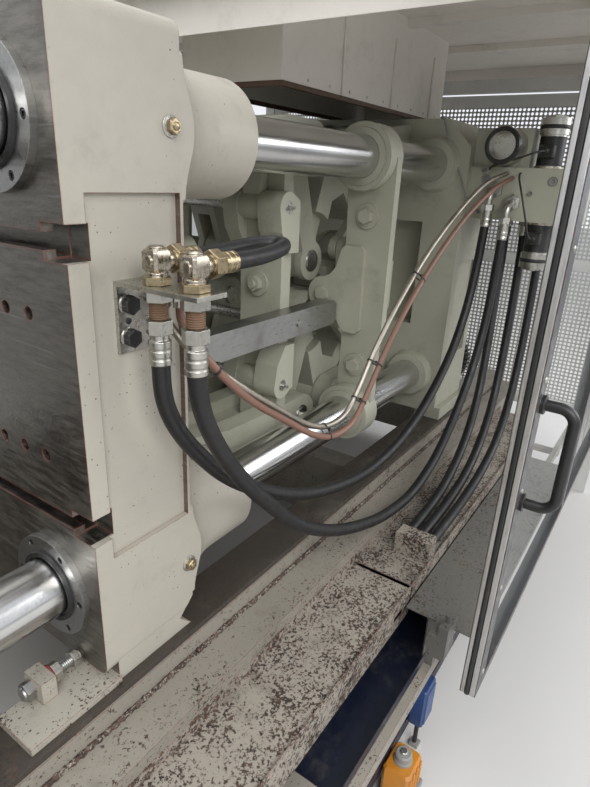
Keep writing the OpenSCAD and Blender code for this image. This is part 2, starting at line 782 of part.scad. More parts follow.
// Moving platen: faced plate with a raised back, sleeves round the tie bars and feet
module sleeve_flare() {
    r = sleeve_d / 2;
    root = 190;
    rotate([0, 90, 0]) rotate_extrude() polygon(concat(
        [[0, 0], [root, 0]],
        [for (a = [0 : 10 : 90]) [r + (root - r) * (1 - sin(a)), 120 * (1 - cos(a)) + 8]],
        [[r, sleeve_l - moving_t - 6], [r - 6, sleeve_l - moving_t], [0, sleeve_l - moving_t]]
    ));
}
module moving_platen() {
    h = platen_h / 2;
    side = platen_w / 2 - 12;
    color("antiquewhite") translate([moving_x, 0, axis_z]) difference() {
        union() {
            along_x(0, moving_t) platen_face();
            along_x(moving_t - 1, base_x) rounded(platen_w - 90, 2 * 330, 40);
            for (y = [-1, 1], z = [-1, 1]) intersection() {
                translate([moving_t - 1, y * bar_o, z * bar_o]) sleeve_flare();
                along_x(0, sleeve_l + 1) rounded(platen_w, platen_h, 26);
            }
            both_sides() block(30, moving_t - 6, rail_out - beam_w + 8, rail_out - 26,
                               rail_z + gap - axis_z, -h + 20);
        }
        for (y = [-1, 1], z = [-1, 1]) translate([0, y * bar_o, z * bar_o])
            rod_x(-1, sleeve_l + 1, bush_d + 2 * run);
        fixing_holes(-1, fix_hole_l);
        for (z = [-1, 1]) translate([0, 0, z * slot_z]) t_slot();
        both_sides() block(40, moving_t - 8, side, side + 14, -340, 340);
        both_sides() translate([moving_t, 0, -h]) rotate([0, 45, 0])
            block(-30, 30, side - 150, side + 14, -30, 30);
        rod_x(-1, base_x + 1, 62);
    }
}

// Toggle block on the platen's back: ejector box, ears for the toggle pins, and a cheek
// that joins the upper and lower ears, with a forked boss at each end of it
module platen_ear() {
    p = front_pin_x;
    translate([p, pin_h]) circle(r = eye_r + 8);
    polygon([
        [base_x, 190], [base_x, 322], [base_x + 190, 480], [p - 150, pin_h + eye_r + 12],
        [p, pin_h + eye_r + 8], [p, pin_h - eye_r - 8], [cheek_x + 52, 384],
        [700, 378], [470, 330], [380, 190]
    ]);
}
module cheek_boss() {
    translate([boss_x, boss_z]) circle(r = boss_r);
    polygon([
        [boss_x - boss_r, boss_z], [boss_x - 34, 214], [cheek_x, 150],
        [cheek_x + 52, 150], [cheek_x + 52, boss_z + 20], [boss_x + 20, boss_z + boss_r - 6]
    ]);
}
module cheek_outline() {
    translate([cheek_in, 0]) polygon([
        [0, 244], [14, 190], [30, 150], [30, -150], [14, -190], [0, -244],
        [cheek_out - cheek_in, -244], [cheek_out - cheek_in, 244]
    ]);
}
module toggle_block() {
    color("beige") translate([moving_x, 0, axis_z]) difference() {
        union() {
            along_x(base_x, base_x + 50) rounded(620, 644, 40);
            along_x(base_x + 49, box_x) rounded(2 * box_y, 400, 40);
            both_sides() for (s = [0, 1]) mirror([0, 0, s]) {
                for (y = [ear_in, eye_out + play]) along_y(y, y + ear_t) platen_ear();
                block(base_x, front_pin_x - eye_r - 40, ear_in, ear_out, pin_h - 30, pin_h + 30);
                block(cheek_x, cheek_x + 52, boss_far, cheek_out, 240, pin_h - 20);
                along_y(cheek_in - 4, cheek_in + 54) cheek_boss();
                along_y(boss_far, boss_near) cheek_boss();
                translate([boss_x, 0, boss_z]) rod_y(cheek_in + 54, boss_far, 2 * boss_r - 10);
                block(boss_x - 26, boss_x + 30, cheek_in + 62, boss_far - 2, boss_z, pin_h);
            }
            both_sides() {
                along_x(cheek_x, cheek_x + 52) cheek_outline();
                translate([0, 234, 43]) {
                    rod_x(cheek_x - 9, cheek_x, 84);
                    hex_x(cheek_x - 30, cheek_x - 9, 44);
                    rod_x(cheek_x - 40, cheek_x - 30, 26);
                }
            }
        }
        for (y = [-1, 1], z = [-1, 1]) translate([0, y * bar_o, z * bar_o])
            rod_x(base_x - 1, sleeve_l + 30, 2 * 152);
        for (s = [-1, 1]) translate([0, 0, s * pin_h]) rod_y_through(front_pin_x, pin_d + 2 * run);
        for (z = [-boss_z, boss_z]) translate([boss_x, 0, z])
            rod_y(-boss_near - 1, boss_near + 1, cross_rod_d + 2 * run);
        both_sides() for (z = [-82, 82]) translate([cheek_x + 26, 0, z])
            rod_y(cheek_in - 1, cheek_in + 91, cross_rod_d + 2 * run);
        rod_x(base_x - 1, box_x + 1, 62);
        block(420, box_x + 1, -130, 130, -140, 140);
        for (y = [-1, 1]) translate([0, y * 200, 0]) block(base_x - 1, base_x + 51, -70, 70, -60, 60);
    }
}
// Bore across the machine through every ear at a height
module rod_y_through(x, d) {
    translate([x, 0, 0]) rod_y(-ear_out - 1, ear_out + 1, d);
}

// Bushes with screwed flanges, and wiper rings at the sleeves' far ends
module tie_bar_bushes() {
    color("lightsteelblue") translate([moving_x, 0, 0]) at_bars() {
        difference() {
            union() {
                rod_x(-14, 0, bush_flange_d);
                rod_x(0, 300, bush_d);
            }
            rod_x(-15, 301, bar_d + 2 * run);
            for (a = [30 : 60 : 330]) rotate([a, 0, 0])
                translate([0, 0, (bush_flange_d + bush_d) / 4 + 2]) rod_x(-15, -6, 16);
        }
        difference() {
            union() {
                rod_x(sleeve_l, sleeve_l + 16, 214);
                rod_x(sleeve_l - 60, sleeve_l, bush_d);
            }
            rod_x(sleeve_l - 61, sleeve_l + 17, bar_d + 2 * run);
        }
    }
}

// Steel safety bar from the platen's back along the cheek
module safety_bar() {
    color("lightsteelblue") translate([moving_x, 0, axis_z]) both_sides() {
        difference() {
            along_y(cheek_out, cheek_out + 60) polygon([
                [base_x, bar_low], [base_x, bar_low + 84], [1196, bar_low + 84],
                [1212, bar_low + 72], [1212, bar_low + 12], [1196, bar_low]
            ]);
            for (x = [420, 1120]) translate([x, cheek_out + 30, 0]) rod_z(bar_low + 66, bar_low + 85, 14);
        }
        for (x = [cheek_x + 26, 520]) translate([x, 0, bar_low + 42])
            rod_y(cheek_out + 60, cheek_out + 66, 24);
    }
}

// Pins of the front links, the plain cross rods between the two cheeks, and a grease
// nipple on each boss
module front_toggle_pins() {
    toggle_pins(b_x);
    color("lightgray") translate([moving_x, 0, axis_z]) {
        for (z = [-boss_z, boss_z]) translate([boss_x, 0, z]) rod_y(-boss_near, boss_near, cross_rod_d);
        for (z = [-82, 82]) translate([cheek_x + 26, 0, z])
            rod_y(-(cheek_in + 90), cheek_in + 90, cross_rod_d);
        both_sides() for (z = [-boss_z, boss_z]) translate([boss_x, 0, z]) {
            hex_y(boss_near, boss_near + 8, 14);
            rod_y(boss_near + 8, boss_near + 22, 9);
        }
    }
}

// Angle bracket on the platen's side, and the hose unions on it
module hose_bracket() {
    wall = -(platen_w / 2 - 12);
    x1 = bracket_x + bracket_w;
    color("silver") difference() {
        union() {
            block(bracket_x, x1, wall - bracket_t, wall, 1353, bracket_z + bracket_t);
            block(bracket_x, x1, -780, wall - bracket_t + 1, bracket_z, bracket_z + bracket_t);
            block(x1 - 6, x1 + 42, -664, wall, 1448, 1456);
            for (r = [braided_route, red_route]) translate([r[0][0], r[0][1], 0])
                rod_z(r[0][2], 1449, 24);
        }
        for (y = elbow_ys) translate([elbow_x, y, 0]) rod_z(bracket_z - 1, bracket_z + 9, 30);
    }
    color("dimgray") for (z = [1380, 1440]) translate([bracket_x + 22, 0, z])
        hex_y(wall - bracket_t - 14, wall - bracket_t, 27);
}
module bracket_fittings() {
    top = bracket_z + bracket_t;
    color("tan") for (y = elbow_ys) translate([elbow_x, y, 0]) {
        rod_z(bracket_z - 1, top + 1, 29.6);
        hex_z(top, top + 16, 46);
        rod_z(top + 15, 1522, 36);
        translate([0, 0, 1522]) {
            sphere(d = 44);
            rod_x(0, 36, 34);
            hex_x(36, 62, 44);
            rod_x(62, 95, hose_d + 4);
        }
        hex_z(bracket_z - 22, bracket_z, 46);
        hex_z(bracket_z - 52, bracket_z - 24, 42);
        rod_z(bracket_z - 56, bracket_z - 20, 34);
        rod_z(ferrule_z, bracket_z - 50, hose_d + 6);
    }
}

// Ejector: cylinder in the platen's box, and its rod through the platen
module ejector_cylinder() {
    color("beige") translate([moving_x, 0, axis_z]) difference() {
        union() {
            along_x(420, 460) rounded(200, 200, 20);
            rod_x(460, 760, 150);
            along_x(760, 800) rounded(170, 170, 20);
        }
        rod_x(419, 461, 50 + 2 * run);
        rod_x(460, 770, 120);
    }
}
module ejector_rod() {
    color("silver") translate([moving_x, 0, axis_z]) {
        rod_x(6, 620, 50);
        rod_x(620, 660, 120 - 2 * run);
    }
}

// Toggle links, drawn for the upper toggle with the machine's side planes
module link_body(p, q, half) {
    d = norm(q - p);
    translate(p) rotate(atan2(q[1] - p[1], q[0] - p[0])) translate([0, -half]) square([d, 2 * half]);
}
module rear_link_outline() {
    a = [a_x, pin_h];
    k = [k_x, k_h];
    e = [e_x, e_h];
    link_body(a, k, link_half);
    link_body(a, e, 34);
    polygon([a + (k - a) * 0.15, a + (k - a) * 0.5, a + (e - a) * 0.62, a + (e - a) * 0.2]);
    translate(a) circle(r = eye_r);
    translate(e) circle(r = 42);
}
module rear_links() {
    a = [a_x, pin_h];
    k = [k_x, k_h];
    both_sides() difference() {
        union() {
            difference() {
                along_y(eye_in, eye_out) rear_link_outline();
                translate([k_x, 0, k_h]) rod_y(eye_in - 1, eye_out + 1, 2 * 172);
            }
            along_y(tongue_in, tongue_in + tongue_t) {
                link_body(a, k, link_half);
                translate(k) circle(r = eye_r - 8);
            }
            translate([e_x, 0, e_h]) rod_y(eye_out - 1, link2_in + link2_t, drive_pin_d);
        }
        translate([a_x, 0, pin_h]) rod_y(eye_in - 1, eye_out + 1, pin_d + 2 * run);
        translate([k_x, 0, k_h]) rod_y(eye_in - 1, eye_out + 1, pin_d + 2 * run);
    }
}
module front_links() {
    b = [b_x, pin_h];
    k = [k_x, k_h];
    both_sides() difference() {
        along_y(eye_in, eye_out) {
            link_body(b, k, link_half);
            translate(b) circle(r = eye_r);
            translate(k) circle(r = eye_r - 4);
        }
        translate([k_x, 0, k_h]) rod_y(tongue_in - 3, tongue_in + tongue_t + 3, 2 * 165);
        translate([b_x, 0, pin_h]) rod_y(eye_in - 1, eye_out + 1, pin_d + 2 * run);
        translate([k_x, 0, k_h]) rod_y(eye_in - 1, eye_out + 1, pin_d + 2 * run);
    }
}
module knee_pins() {
    both_sides() translate([k_x, 0, k_h]) {
        rod_y(eye_in, eye_out, pin_d);
        rod_y(eye_out, eye_out + 6, pin_d - 10);
        rod_y(eye_in - 6, eye_in, pin_d - 10);
    }
}
module crosshead_links() {
    e = [e_x, e_h];
    f = [f_x, cross_pin_h];
    both_sides() {
        difference() {
            along_y(link2_in, link2_in + link2_t) {
                link_body(e, f, 30);
                translate(e) circle(r = 46);
                translate(f) circle(r = 42);
            }
            translate([e_x, 0, e_h]) rod_y(link2_in - 1, link2_in + link2_t + 1, drive_pin_d + 2 * run);
        }
        translate([f_x, 0, cross_pin_h]) rod_y(link2_in + link2_t, fear_in - gap, drive_pin_d);
    }
}
module upper_rear_links() {
    color("beige") level(1) rear_links();
}
module upper_front_links() {
    color("beige") level(1) front_links();
}
module upper_knee_pins() {
    color("silver") level(1) knee_pins();
}
module lower_rear_links() {
    color("beige") level(-1) rear_links();
}
module lower_front_links() {
    color("beige") level(-1) front_links();
}
module lower_knee_pins() {
    color("silver") level(-1) knee_pins();
}
module upper_crosshead_links() {
    color("silver") level(1) crosshead_links();
}
module lower_crosshead_links() {
    color("silver") level(-1) crosshead_links();
}

// Crosshead beam with ears for its links, and the arms that ride on the tie bars
module crosshead() {
    color("beige") on_axis() {
        difference() {
            union() {
                block(beam_x, beam_x + beam_l, -beam_end, beam_end, -beam_h, beam_h);
                rod_x(beam_x - 6, beam_x + beam_l, 2 * beam_h + 20);
                both_sides() block(arm_x, beam_x + 1, 262, beam_end - 8, -32, 32);
            }
            rod_x(beam_x - 7, beam_x + 24, 54);
            both_sides() translate([beam_x - 1, 90, -30]) cube([22, 140, 60]);
            both_sides() for (s = [0, 1]) mirror([0, 0, s])
                block(beam_x - 1, beam_x + beam_l + 1, link2_in - 5, fear_in, 34, beam_h + 1);
        }
        both_sides() for (s = [0, 1]) mirror([0, 0, s]) along_y(fear_in, fear_in + fear_t) {
            translate([f_x, cross_pin_h]) circle(r = 44);
            polygon([[f_x - 40, beam_h - 1], [f_x - 44, cross_pin_h], [f_x + 44, cross_pin_h],
                     [beam_x + beam_l, beam_h - 1]]);
        }
    }
}
module arm_lug() {
    translate([lug_y, -15]) circle(r = 60);
    polygon([
        [lug_y, 45], [345, 58], [366, 84], [378, 128], [384, 148], [400, 163], [456, 163],
        [470, 150], [476, -128], [462, -142], [412, -142], [396, -126], [384, -104],
        [357, -84], [lug_y, -75]
    ]);
}
module crosshead_arms() {
    inner = 390;
    outer = 552;
    bolt_y = 462;
    t = 36;
    lug_t = 25;
    color("beige") on_axis() both_sides() difference() {
        union() {
            for (s = [-1, 1]) translate([0, bar_o, s * bar_o]) {
                rod_x(arm_x - ring_l / 2, arm_x + ring_l / 2, ring_d);
                rod_x(arm_x - ring_l / 2 - 5, arm_x, ring_d - 34);
            }
            along_x(arm_x, arm_x + t) polygon([
                [inner, -bar_o], [inner + 6, -200], [inner + 2, 0], [inner - 6, 240], [inner - 14, bar_o],
                [outer, bar_o], [outer, -120], [outer - 14, -200], [outer - 14, -bar_o]
            ]);
            along_x(arm_x - lug_t, arm_x) arm_lug();
            along_y(beam_end, beam_end + 62)
                polygon([[arm_x + t - 1, -120], [arm_x + t - 1, 120], [beam_x + beam_l, 90],
                         [beam_x + beam_l, -90]]);
            for (z = [-262, 262]) translate([0, bolt_y, z]) {
                rod_x(arm_x - 8, arm_x, 84);
                hex_x(arm_x - 28, arm_x - 8, 44);
            }
            translate([0, lug_y, -15]) hex_x(arm_x - lug_t - 16, arm_x - lug_t, 46);
        }
        for (s = [-1, 1]) translate([0, bar_o, s * bar_o])
            rod_x(arm_x - ring_l, arm_x + ring_l, bar_d + 2 * run);
    }
}

// Sliding guard doors: a tube frame with a thin lower rail, and a clear window in it
module door_leaf() {
    difference() {
        block(0, door_l, -20, 20, 0, door_h);
        for (x = [door_bar, door_l / 2 + 20])
            block(x, x + door_l / 2 - 20 - door_bar, -21, 21, door_sill_h, door_h - door_bar);
    }
}
module door_window() {
    for (x = [door_bar, door_l / 2 + 20])
        block(x, x + door_l / 2 - 20 - door_bar, -3, 3, door_sill_h, door_h - door_bar);
}
module near_door() {
    color("dimgray") {
        translate([door_x, -door_y, door_z]) door_leaf();
        translate([door_x + 36, -door_y - 20, 0]) handle_bar();
    }
}
module near_door_window() {
    color("lightblue", 0.4) translate([door_x, -door_y, door_z]) door_window();
}
// Bent bar handle on the door's leading stile
module handle_bar() {
    reach = 70;
    bend = 32;
    d = 24;
    for (z = handle_z) translate([0, 0, z]) {
        rod_y(-reach + bend, 0, d);
        rod_y(-6, 0, d + 16);
    }
    translate([0, -reach, 0]) rod_z(handle_z[0] + bend, handle_z[1] - bend, d);
    for (s = [0, 1]) translate([0, -reach + bend, s > 0 ? handle_z[1] - bend : handle_z[0] + bend])
        mirror([0, 1, 0]) mirror([0, 0, s]) rotate([0, 90, 0])
            rotate_extrude(angle = 90) translate([bend, 0]) circle(d = d);
}
module far_door() {
    color("whitesmoke") mirror([0, 1, 0]) {
        translate([-450, -door_y, door_z]) door_leaf();
        translate([-450 + 36, -door_y - 20, 0]) handle_bar();
    }
}
module far_door_window() {
    color("lightblue", 0.4) translate([-450, door_y, door_z]) door_window();
}

// Injection unit: saddle on the rails, pedestal, barrel housing and ram cylinders
module injection_carriage() {
    low = rail_z + gap;
    color("antiquewhite") {
        both_sides() block(-2900, -1500, rail_out - beam_w + 10, rail_out - 8, low, 760);
        block(-2900, -1500, -(rail_out - 8), rail_out - 8, 759, 860);
        difference() {
            block(-2520, -1900, -280, 280, 859, 1060);
            both_sides() block(-2460, -1960, 250, 281, 900, 1020);
        }
        on_axis() difference() {
            union() {
                along_x(-2440, -1980) rounded(660, 480, 30);
                both_sides() translate([0, 230, 0]) {
                    rod_x(-2900, -2439, inject_d);
                    rod_x(-2930, -2900, inject_d + 20);
                }
                block(-2330, -2110, -110, 110, 239, 262);
                along_x(-1981, -1950) circle(d = 300);
            }
            rod_x(-2040, -1949, barrel_d);
            rod_x(-2441, -2039, screw_bore_d + 20);
            translate([-2220, 0, 0]) rod_z(40, 263, 100);
            both_sides() translate([0, 230, 0]) rod_x(-2931, -2480, 90 + 2 * run);
        }
    }
}

// Plasticising barrel with heater bands, end cap and nozzle
module barrel() {
    x0 = -2040;
    x1 = x0 + barrel_l;
    color("dimgray") on_axis() difference() {
        union() {
            rod_x(x0, x1 - 120, barrel_d);
            rod_x(x1 - 120, x1, barrel_d + 36);
            for (k = [0 : 6]) rod_x(x0 + 200 + k * 178, x0 + 350 + k * 178, barrel_d + 22);
            for (k = [0 : 6])
                block(x0 + 240 + k * 178, x0 + 310 + k * 178, -32, 32, barrel_d / 2, barrel_d / 2 + 46);
            translate([x1, 0, 0]) rotate([0, 90, 0]) cylinder(h = 60, d1 = 110, d2 = 64);
            rod_x(x1 + 59, -256, 58);
            translate([-256, 0, 0]) rotate([0, 90, 0]) cylinder(h = 16, d1 = 44, d2 = 16);
            for (a = [0 : 45 : 315]) rotate([a, 0, 0]) translate([0, 0, 76]) hex_x(x1, x1 + 16, 24);
        }
        rod_x(x0 - 1, x1 - 80, screw_bore_d);
        rod_x(x1 - 81, -239, 10);
    }
}
module injection_screw() {
    x0 = -2960;
    color("silver") on_axis() {
        rod_x(x0, -2040, screw_bore_d - 10);
        rod_x(-2041, -600, screw_bore_d - 2 * run);
        translate([-600, 0, 0]) rotate([0, 90, 0]) cylinder(h = 62, d1 = screw_bore_d - 6, d2 = 14);
    }
}

// Square hopper with its slide gate, and the hinged lid
module hopper() {
    low = axis_z + 262;
    w = hopper_w;
    seam = low + 340;
    top = seam + hopper_h;
    color("silver") translate([-2220, 0, 0]) difference() {
        union() {
            block(-110, 110, -110, 110, low, low + 20);
            rod_z(low + 19, low + 71, 140);
            block(-90, 90, -150, 90, low + 30, low + 46);
            translate([0, 0, low + 70]) rotate(45)
                cylinder(h = 271, d1 = 140 * sqrt(2), d2 = w * sqrt(2), $fn = 4);
        }
        rod_z(low - 1, low + 90, 100);
        translate([0, 0, low + 80]) rotate(45)
            cylinder(h = 261, d1 = 130 * sqrt(2), d2 = (w - 6) * sqrt(2), $fn = 4);
        block(-w / 2 + 3, w / 2 - 3, -w / 2 + 3, w / 2 - 3, seam, seam + 2);
    }
    color("silver") translate([-2220, 0, 0]) difference() {
        union() {
            block(-w / 2, w / 2, -w / 2, w / 2, seam + 1 + gap, top);
            block(-w / 2 - 12, w / 2 + 12, -w / 2 - 12, w / 2 + 12, top - 20, top);
        }
        block(-w / 2 + 3, w / 2 - 3, -w / 2 + 3, w / 2 - 3, seam, top + 1);
    }
}
module hopper_lid() {
    top = axis_z + 262 + 340 + hopper_h;
    w = hopper_w / 2 + 16;
    color("silver") translate([-2220, 0, top + gap]) {
        block(-w, w, -w, w, 0, 4);
        block(-w + 40, w - 40, -w + 40, w - 40, 3, 12);
        block(w - 90, w - 60, -70, 70, 11, 38);
        for (y = [-200, 200]) translate([-w - 9, 0, 2]) rod_y(y - 30, y + 30, 18);
        for (y = [-200, 200]) block(-w - 9, -w + 1, y - 30, y + 30, 0, 4);
    }
}

// Ram plate with its two rods and the screw's hydraulic motor
module injection_drive() {
    color("darkslategray") on_axis() difference() {
        union() {
            along_x(-3100, -2960) rounded(700, 330, 40);
            rod_x(-3300, -3099, 300);
            along_x(-3330, -3300) rounded(240, 240, 30);
            rod_x(-3390, -3329, 190);
            both_sides() translate([0, 230, 0]) {
                rod_x(-2961, -2500, 90);
                hex_x(-3130, -3100, 95);
            }
            for (z = [-1, 1]) translate([-3200, 0, z * 150]) rod_z(-34, 34, 70);
        }
        rod_x(-3000, -2959, screw_bore_d + 30);
    }
}

// Control cabinet at the operator's side, and its emergency stop
module control_panel() {
    x0 = -1160;
    x1 = -660;
    y = 1210;
    color("whitesmoke") {
        difference() {
            block(x0, x1, 1050, y, 1200, 1760);
            block(x0 + 80, x1 - 80, y - 8, y + 1, 1440, 1690);
            block(x0 + 60, x1 - 150, y - 4, y + 1, 1250, 1400);
            translate([x1 - 90, 0, 1320]) rod_y(y - 30, y + 1, 24.6);
        }
        for (k = [0 : 7], n = [0 : 3])
            block(x0 + 72 + k * 36, x0 + 98 + k * 36, y - 5, y - 1, 1262 + n * 34, 1286 + n * 34);
        block(x1 - 1, -640, 1150, 1200, 1300, 1660);
        block(x0 + 180, x1 - 180, 1090, 1170, 0, 1201);
        block(x0 + 90, x1 - 90, 1000, y, 0, 16);
        translate([x1 - 90, 0, 1320]) difference() {
            rod_y(y, y + 10, 62);
            rod_y(y - 1, y + 11, 24.6);
        }
    }
}
module emergency_button() {
    y = 1210;
    color("red") translate([-750, 0, 1320]) {
        rod_y(y - 20, y + 26, 24);
        rod_y(y + 25, y + 34, 40);
        translate([0, y + 34, 0]) rotate([-90, 0, 0]) cylinder(h = 8, d1 = 40, d2 = 30);
    }
}

bed_frame();
slide_rails();
drip_trays();
levelling_feet();
stationary_platen();
locating_ring();
tie_bars();
tie_bar_nuts();
rear_platen();
rear_toggle_pins();
clamp_cylinder();
valve_manifold();
manifold_valves();
manifold_fittings();
end_guard();
guard_frame();
roof_panels();
door_sill();
base_cabinet();
drop_hose_1();
drop_hose_2();
drop_hose_3();
moving_platen();
toggle_block();
shoe_screws();
tie_bar_bushes();
safety_bar();
front_toggle_pins();
hose_bracket();
bracket_fittings();
loop_hose();
ejector_cylinder();
ejector_rod();
hose_a();
hose_b();
conduit_braided();
conduit_red();
upper_rear_links();
upper_front_links();
upper_knee_pins();
lower_rear_links();
lower_front_links();
lower_knee_pins();
crosshead();
crosshead_arms();
cylinder_rod();
upper_crosshead_links();
lower_crosshead_links();
near_door();
near_door_window();
far_door();
far_door_window();
injection_carriage();
barrel();
injection_screw();
hopper();
hopper_lid();
injection_drive();
control_panel();
emergency_button();
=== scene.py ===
"""Looks of the injection moulding machine: camera, hoses, materials and detail pieces.

The axes are the part's: +X to the clamp end, -Y the side with the hoses, +Z up, and the
origin on the floor. Blender works in metres. Routes and detail pieces are in millimetres.
"""

import math
import random

import bmesh
import bpy
from mathutils import Euler, Matrix, Vector


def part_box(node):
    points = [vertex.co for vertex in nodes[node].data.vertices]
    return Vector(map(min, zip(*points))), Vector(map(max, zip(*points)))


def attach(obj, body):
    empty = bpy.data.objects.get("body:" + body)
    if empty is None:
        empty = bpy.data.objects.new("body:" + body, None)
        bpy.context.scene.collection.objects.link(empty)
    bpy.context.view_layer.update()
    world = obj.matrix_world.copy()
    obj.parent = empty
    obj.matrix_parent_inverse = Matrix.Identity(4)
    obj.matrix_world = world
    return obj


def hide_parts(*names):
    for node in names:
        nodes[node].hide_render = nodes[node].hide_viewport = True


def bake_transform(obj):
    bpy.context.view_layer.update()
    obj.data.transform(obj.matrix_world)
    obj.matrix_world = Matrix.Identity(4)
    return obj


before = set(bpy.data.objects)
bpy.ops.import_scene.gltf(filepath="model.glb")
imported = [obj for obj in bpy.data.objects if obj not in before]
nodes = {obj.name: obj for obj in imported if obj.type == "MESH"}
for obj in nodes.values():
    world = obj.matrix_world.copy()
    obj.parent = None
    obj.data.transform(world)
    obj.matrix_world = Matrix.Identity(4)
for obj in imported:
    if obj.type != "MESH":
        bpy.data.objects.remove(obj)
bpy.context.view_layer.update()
scene = bpy.context.scene

MM = 1000
TO_CLAMP, TO_INJECTION, TO_NEAR, UP, DOWN = (1, 0, 0), (-1, 0, 0), (0, -1, 0), (0, 0, 1), (0, 0, -1)


def corners(node):
    """A CAD node's lowest and highest corners at rest, in millimetres."""
    return [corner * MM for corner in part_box(node)]


PLATEN_LO, PLATEN_HI = corners("moving_platen")
FIXED_HI = corners("stationary_platen")[1]
BUSH_LO = corners("tie_bar_bushes")[0]
SHOE_LO = corners("shoe_screws")[0]
BRACKET_LO, BRACKET_HI = corners("hose_bracket")
MANIFOLD_LO = corners("valve_manifold")[0]
VALVES_LO = corners("manifold_valves")[0]
GUARD_LO, GUARD_HI = corners("end_guard")
DOOR_LO, DOOR_HI = corners("near_door")
WINDOW_LO, WINDOW_HI = corners("near_door_window")
BARS_LO, BARS_HI = corners("tie_bars")

BAR_D = 130
AXIS = (BARS_LO.z + BARS_HI.z) / 2
BAR = (BARS_HI.z - BARS_LO.z - BAR_D) / 2

# Camera, solved from the vanishing points of the machine's long and cross lines

FOCAL_PX, FRAME_H_PX = 566.52, 787
CAMERA_PLACE = (0.25, -1.385, 1.665)
CAMERA_TURN = (68.9173, -2.5812, -55.497)
SENSOR_H = 24.0

cam_data = bpy.data.cameras.new("camera")
cam = bpy.data.objects.new("camera", cam_data)
scene.collection.objects.link(cam)
scene.camera = cam
turn = Euler([math.radians(a) for a in CAMERA_TURN])
cam.matrix_world = Matrix.LocRotScale(Vector(CAMERA_PLACE), turn, None)
cam_data.sensor_fit = "VERTICAL"
cam_data.sensor_height = SENSOR_H
cam_data.lens = FOCAL_PX / FRAME_H_PX * SENSOR_H
cam_data.clip_start, cam_data.clip_end = 0.02, 200

# Node materials


class Mat:
    """A node material with short names for the nodes that it is made of."""

    def __init__(self, name, **sockets):
        self.mat = bpy.data.materials.new(name)
        self.mat.use_nodes = True
        self.tree = self.mat.node_tree
        self.tree.nodes.clear()
        self.shader = self.node("BsdfPrincipled")
        self.link(self.shader.outputs[0], self.node("OutputMaterial").inputs[0])
        self.coords = self.node("TexCoord").outputs["Object"]
        self.set(**sockets)

    def node(self, kind):
        return self.tree.nodes.new("ShaderNode" + kind)

    def link(self, value, socket):
        """Links an output to the socket, or writes a number or colour on it."""
        if isinstance(value, bpy.types.NodeSocket):
            self.tree.links.new(value, socket)
            return
        if hasattr(value, "__len__"):
            value = tuple(value) + (1.0,) * (len(socket.default_value) - len(value))
        socket.default_value = value

    def set(self, **sockets):
        for key, value in sockets.items():
            self.link(value, self.shader.inputs[key.replace("_", " ")])

    def scaled(self, scale):
        n = self.node("Mapping")
        self.link(self.coords, n.inputs[0])
        n.inputs["Scale"].default_value = scale
        return n.outputs[0]

    def noise(self, scale, detail=4.0, rough=0.55, stretch=(1, 1, 1)):
        n = self.node("TexNoise")
        self.link(self.scaled(stretch), n.inputs["Vector"])
        n.inputs["Scale"].default_value = scale
        n.inputs["Detail"].default_value = detail
        n.inputs["Roughness"].default_value = rough
        return n.outputs[0]

    def cells(self, scale):
        """The distance to the nearest of scattered points."""
        n = self.node("TexVoronoi")
        self.link(self.scaled((1, 1, 1)), n.inputs["Vector"])
        n.inputs["Scale"].default_value = scale
        return n.outputs["Distance"]

    def ramp(self, value, low, high, a=0.0, b=1.0):
        """a at low and b at high, with a smooth change between them."""
        n = self.node("MapRange")
        n.interpolation_type = "SMOOTHSTEP"
        for key, v in (("Value", value), ("From Min", low), ("From Max", high), ("To Min", a), ("To Max", b)):
            self.link(v, n.inputs[key])
        return n.outputs[0]

    def math(self, op, a, b=0.0, clamp=False):
        n = self.node("Math")
        n.operation = op
        n.use_clamp = clamp
        self.link(a, n.inputs[0])
        self.link(b, n.inputs[1])
        return n.outputs[0]

    def plus(self, a, b):
        return self.math("ADD", a, b)

    def times(self, a, b):
        return self.math("MULTIPLY", a, b)

    def apart(self, a, b):
        return self.math("ABSOLUTE", self.math("SUBTRACT", a, b))

    def below(self, value, limit, soft):
        """1 below the limit and 0 above it."""
        return self.ramp(value, limit + soft, limit - soft)

    def mix(self, factor, a, b):
        n = self.node("Mix")
        n.data_type = "RGBA"
        self.link(factor, n.inputs[0])
        self.link(a, n.inputs[6])
        self.link(b, n.inputs[7])
        return n.outputs[2]

    def split(self, vector, k):
        n = self.node("SeparateXYZ")
        self.link(vector, n.inputs[0])
        return n.outputs[k]

    def axis(self, k):
        return self.split(self.coords, k)

    def normal(self, k):
        return self.split(self.node("NewGeometry").outputs["Normal"], k)

    def rounded(self, radius):
        n = self.node("Bevel")
        n.samples = 4
        n.inputs["Radius"].default_value = radius
        return n.outputs[0]

    def edges(self, radius):
        """Above 0 near an edge and 0 on the flat beside it."""
        n = self.node("VectorMath")
        n.operation = "DOT_PRODUCT"
        self.link(self.rounded(radius), n.inputs[0])
        self.link(self.node("NewGeometry").outputs["True Normal"], n.inputs[1])
        return self.math("SUBTRACT", 1.0, n.outputs["Value"], clamp=True)

    def bump(self, height, strength, distance, round_edges):
        n = self.node("Bump")
        n.inputs["Strength"].default_value = strength
        n.inputs["Distance"].default_value = distance
        self.link(height, n.inputs["Height"])
        self.link(self.rounded(round_edges), n.inputs["Normal"])
        self.link(n.outputs[0], self.shader.inputs["Normal"])


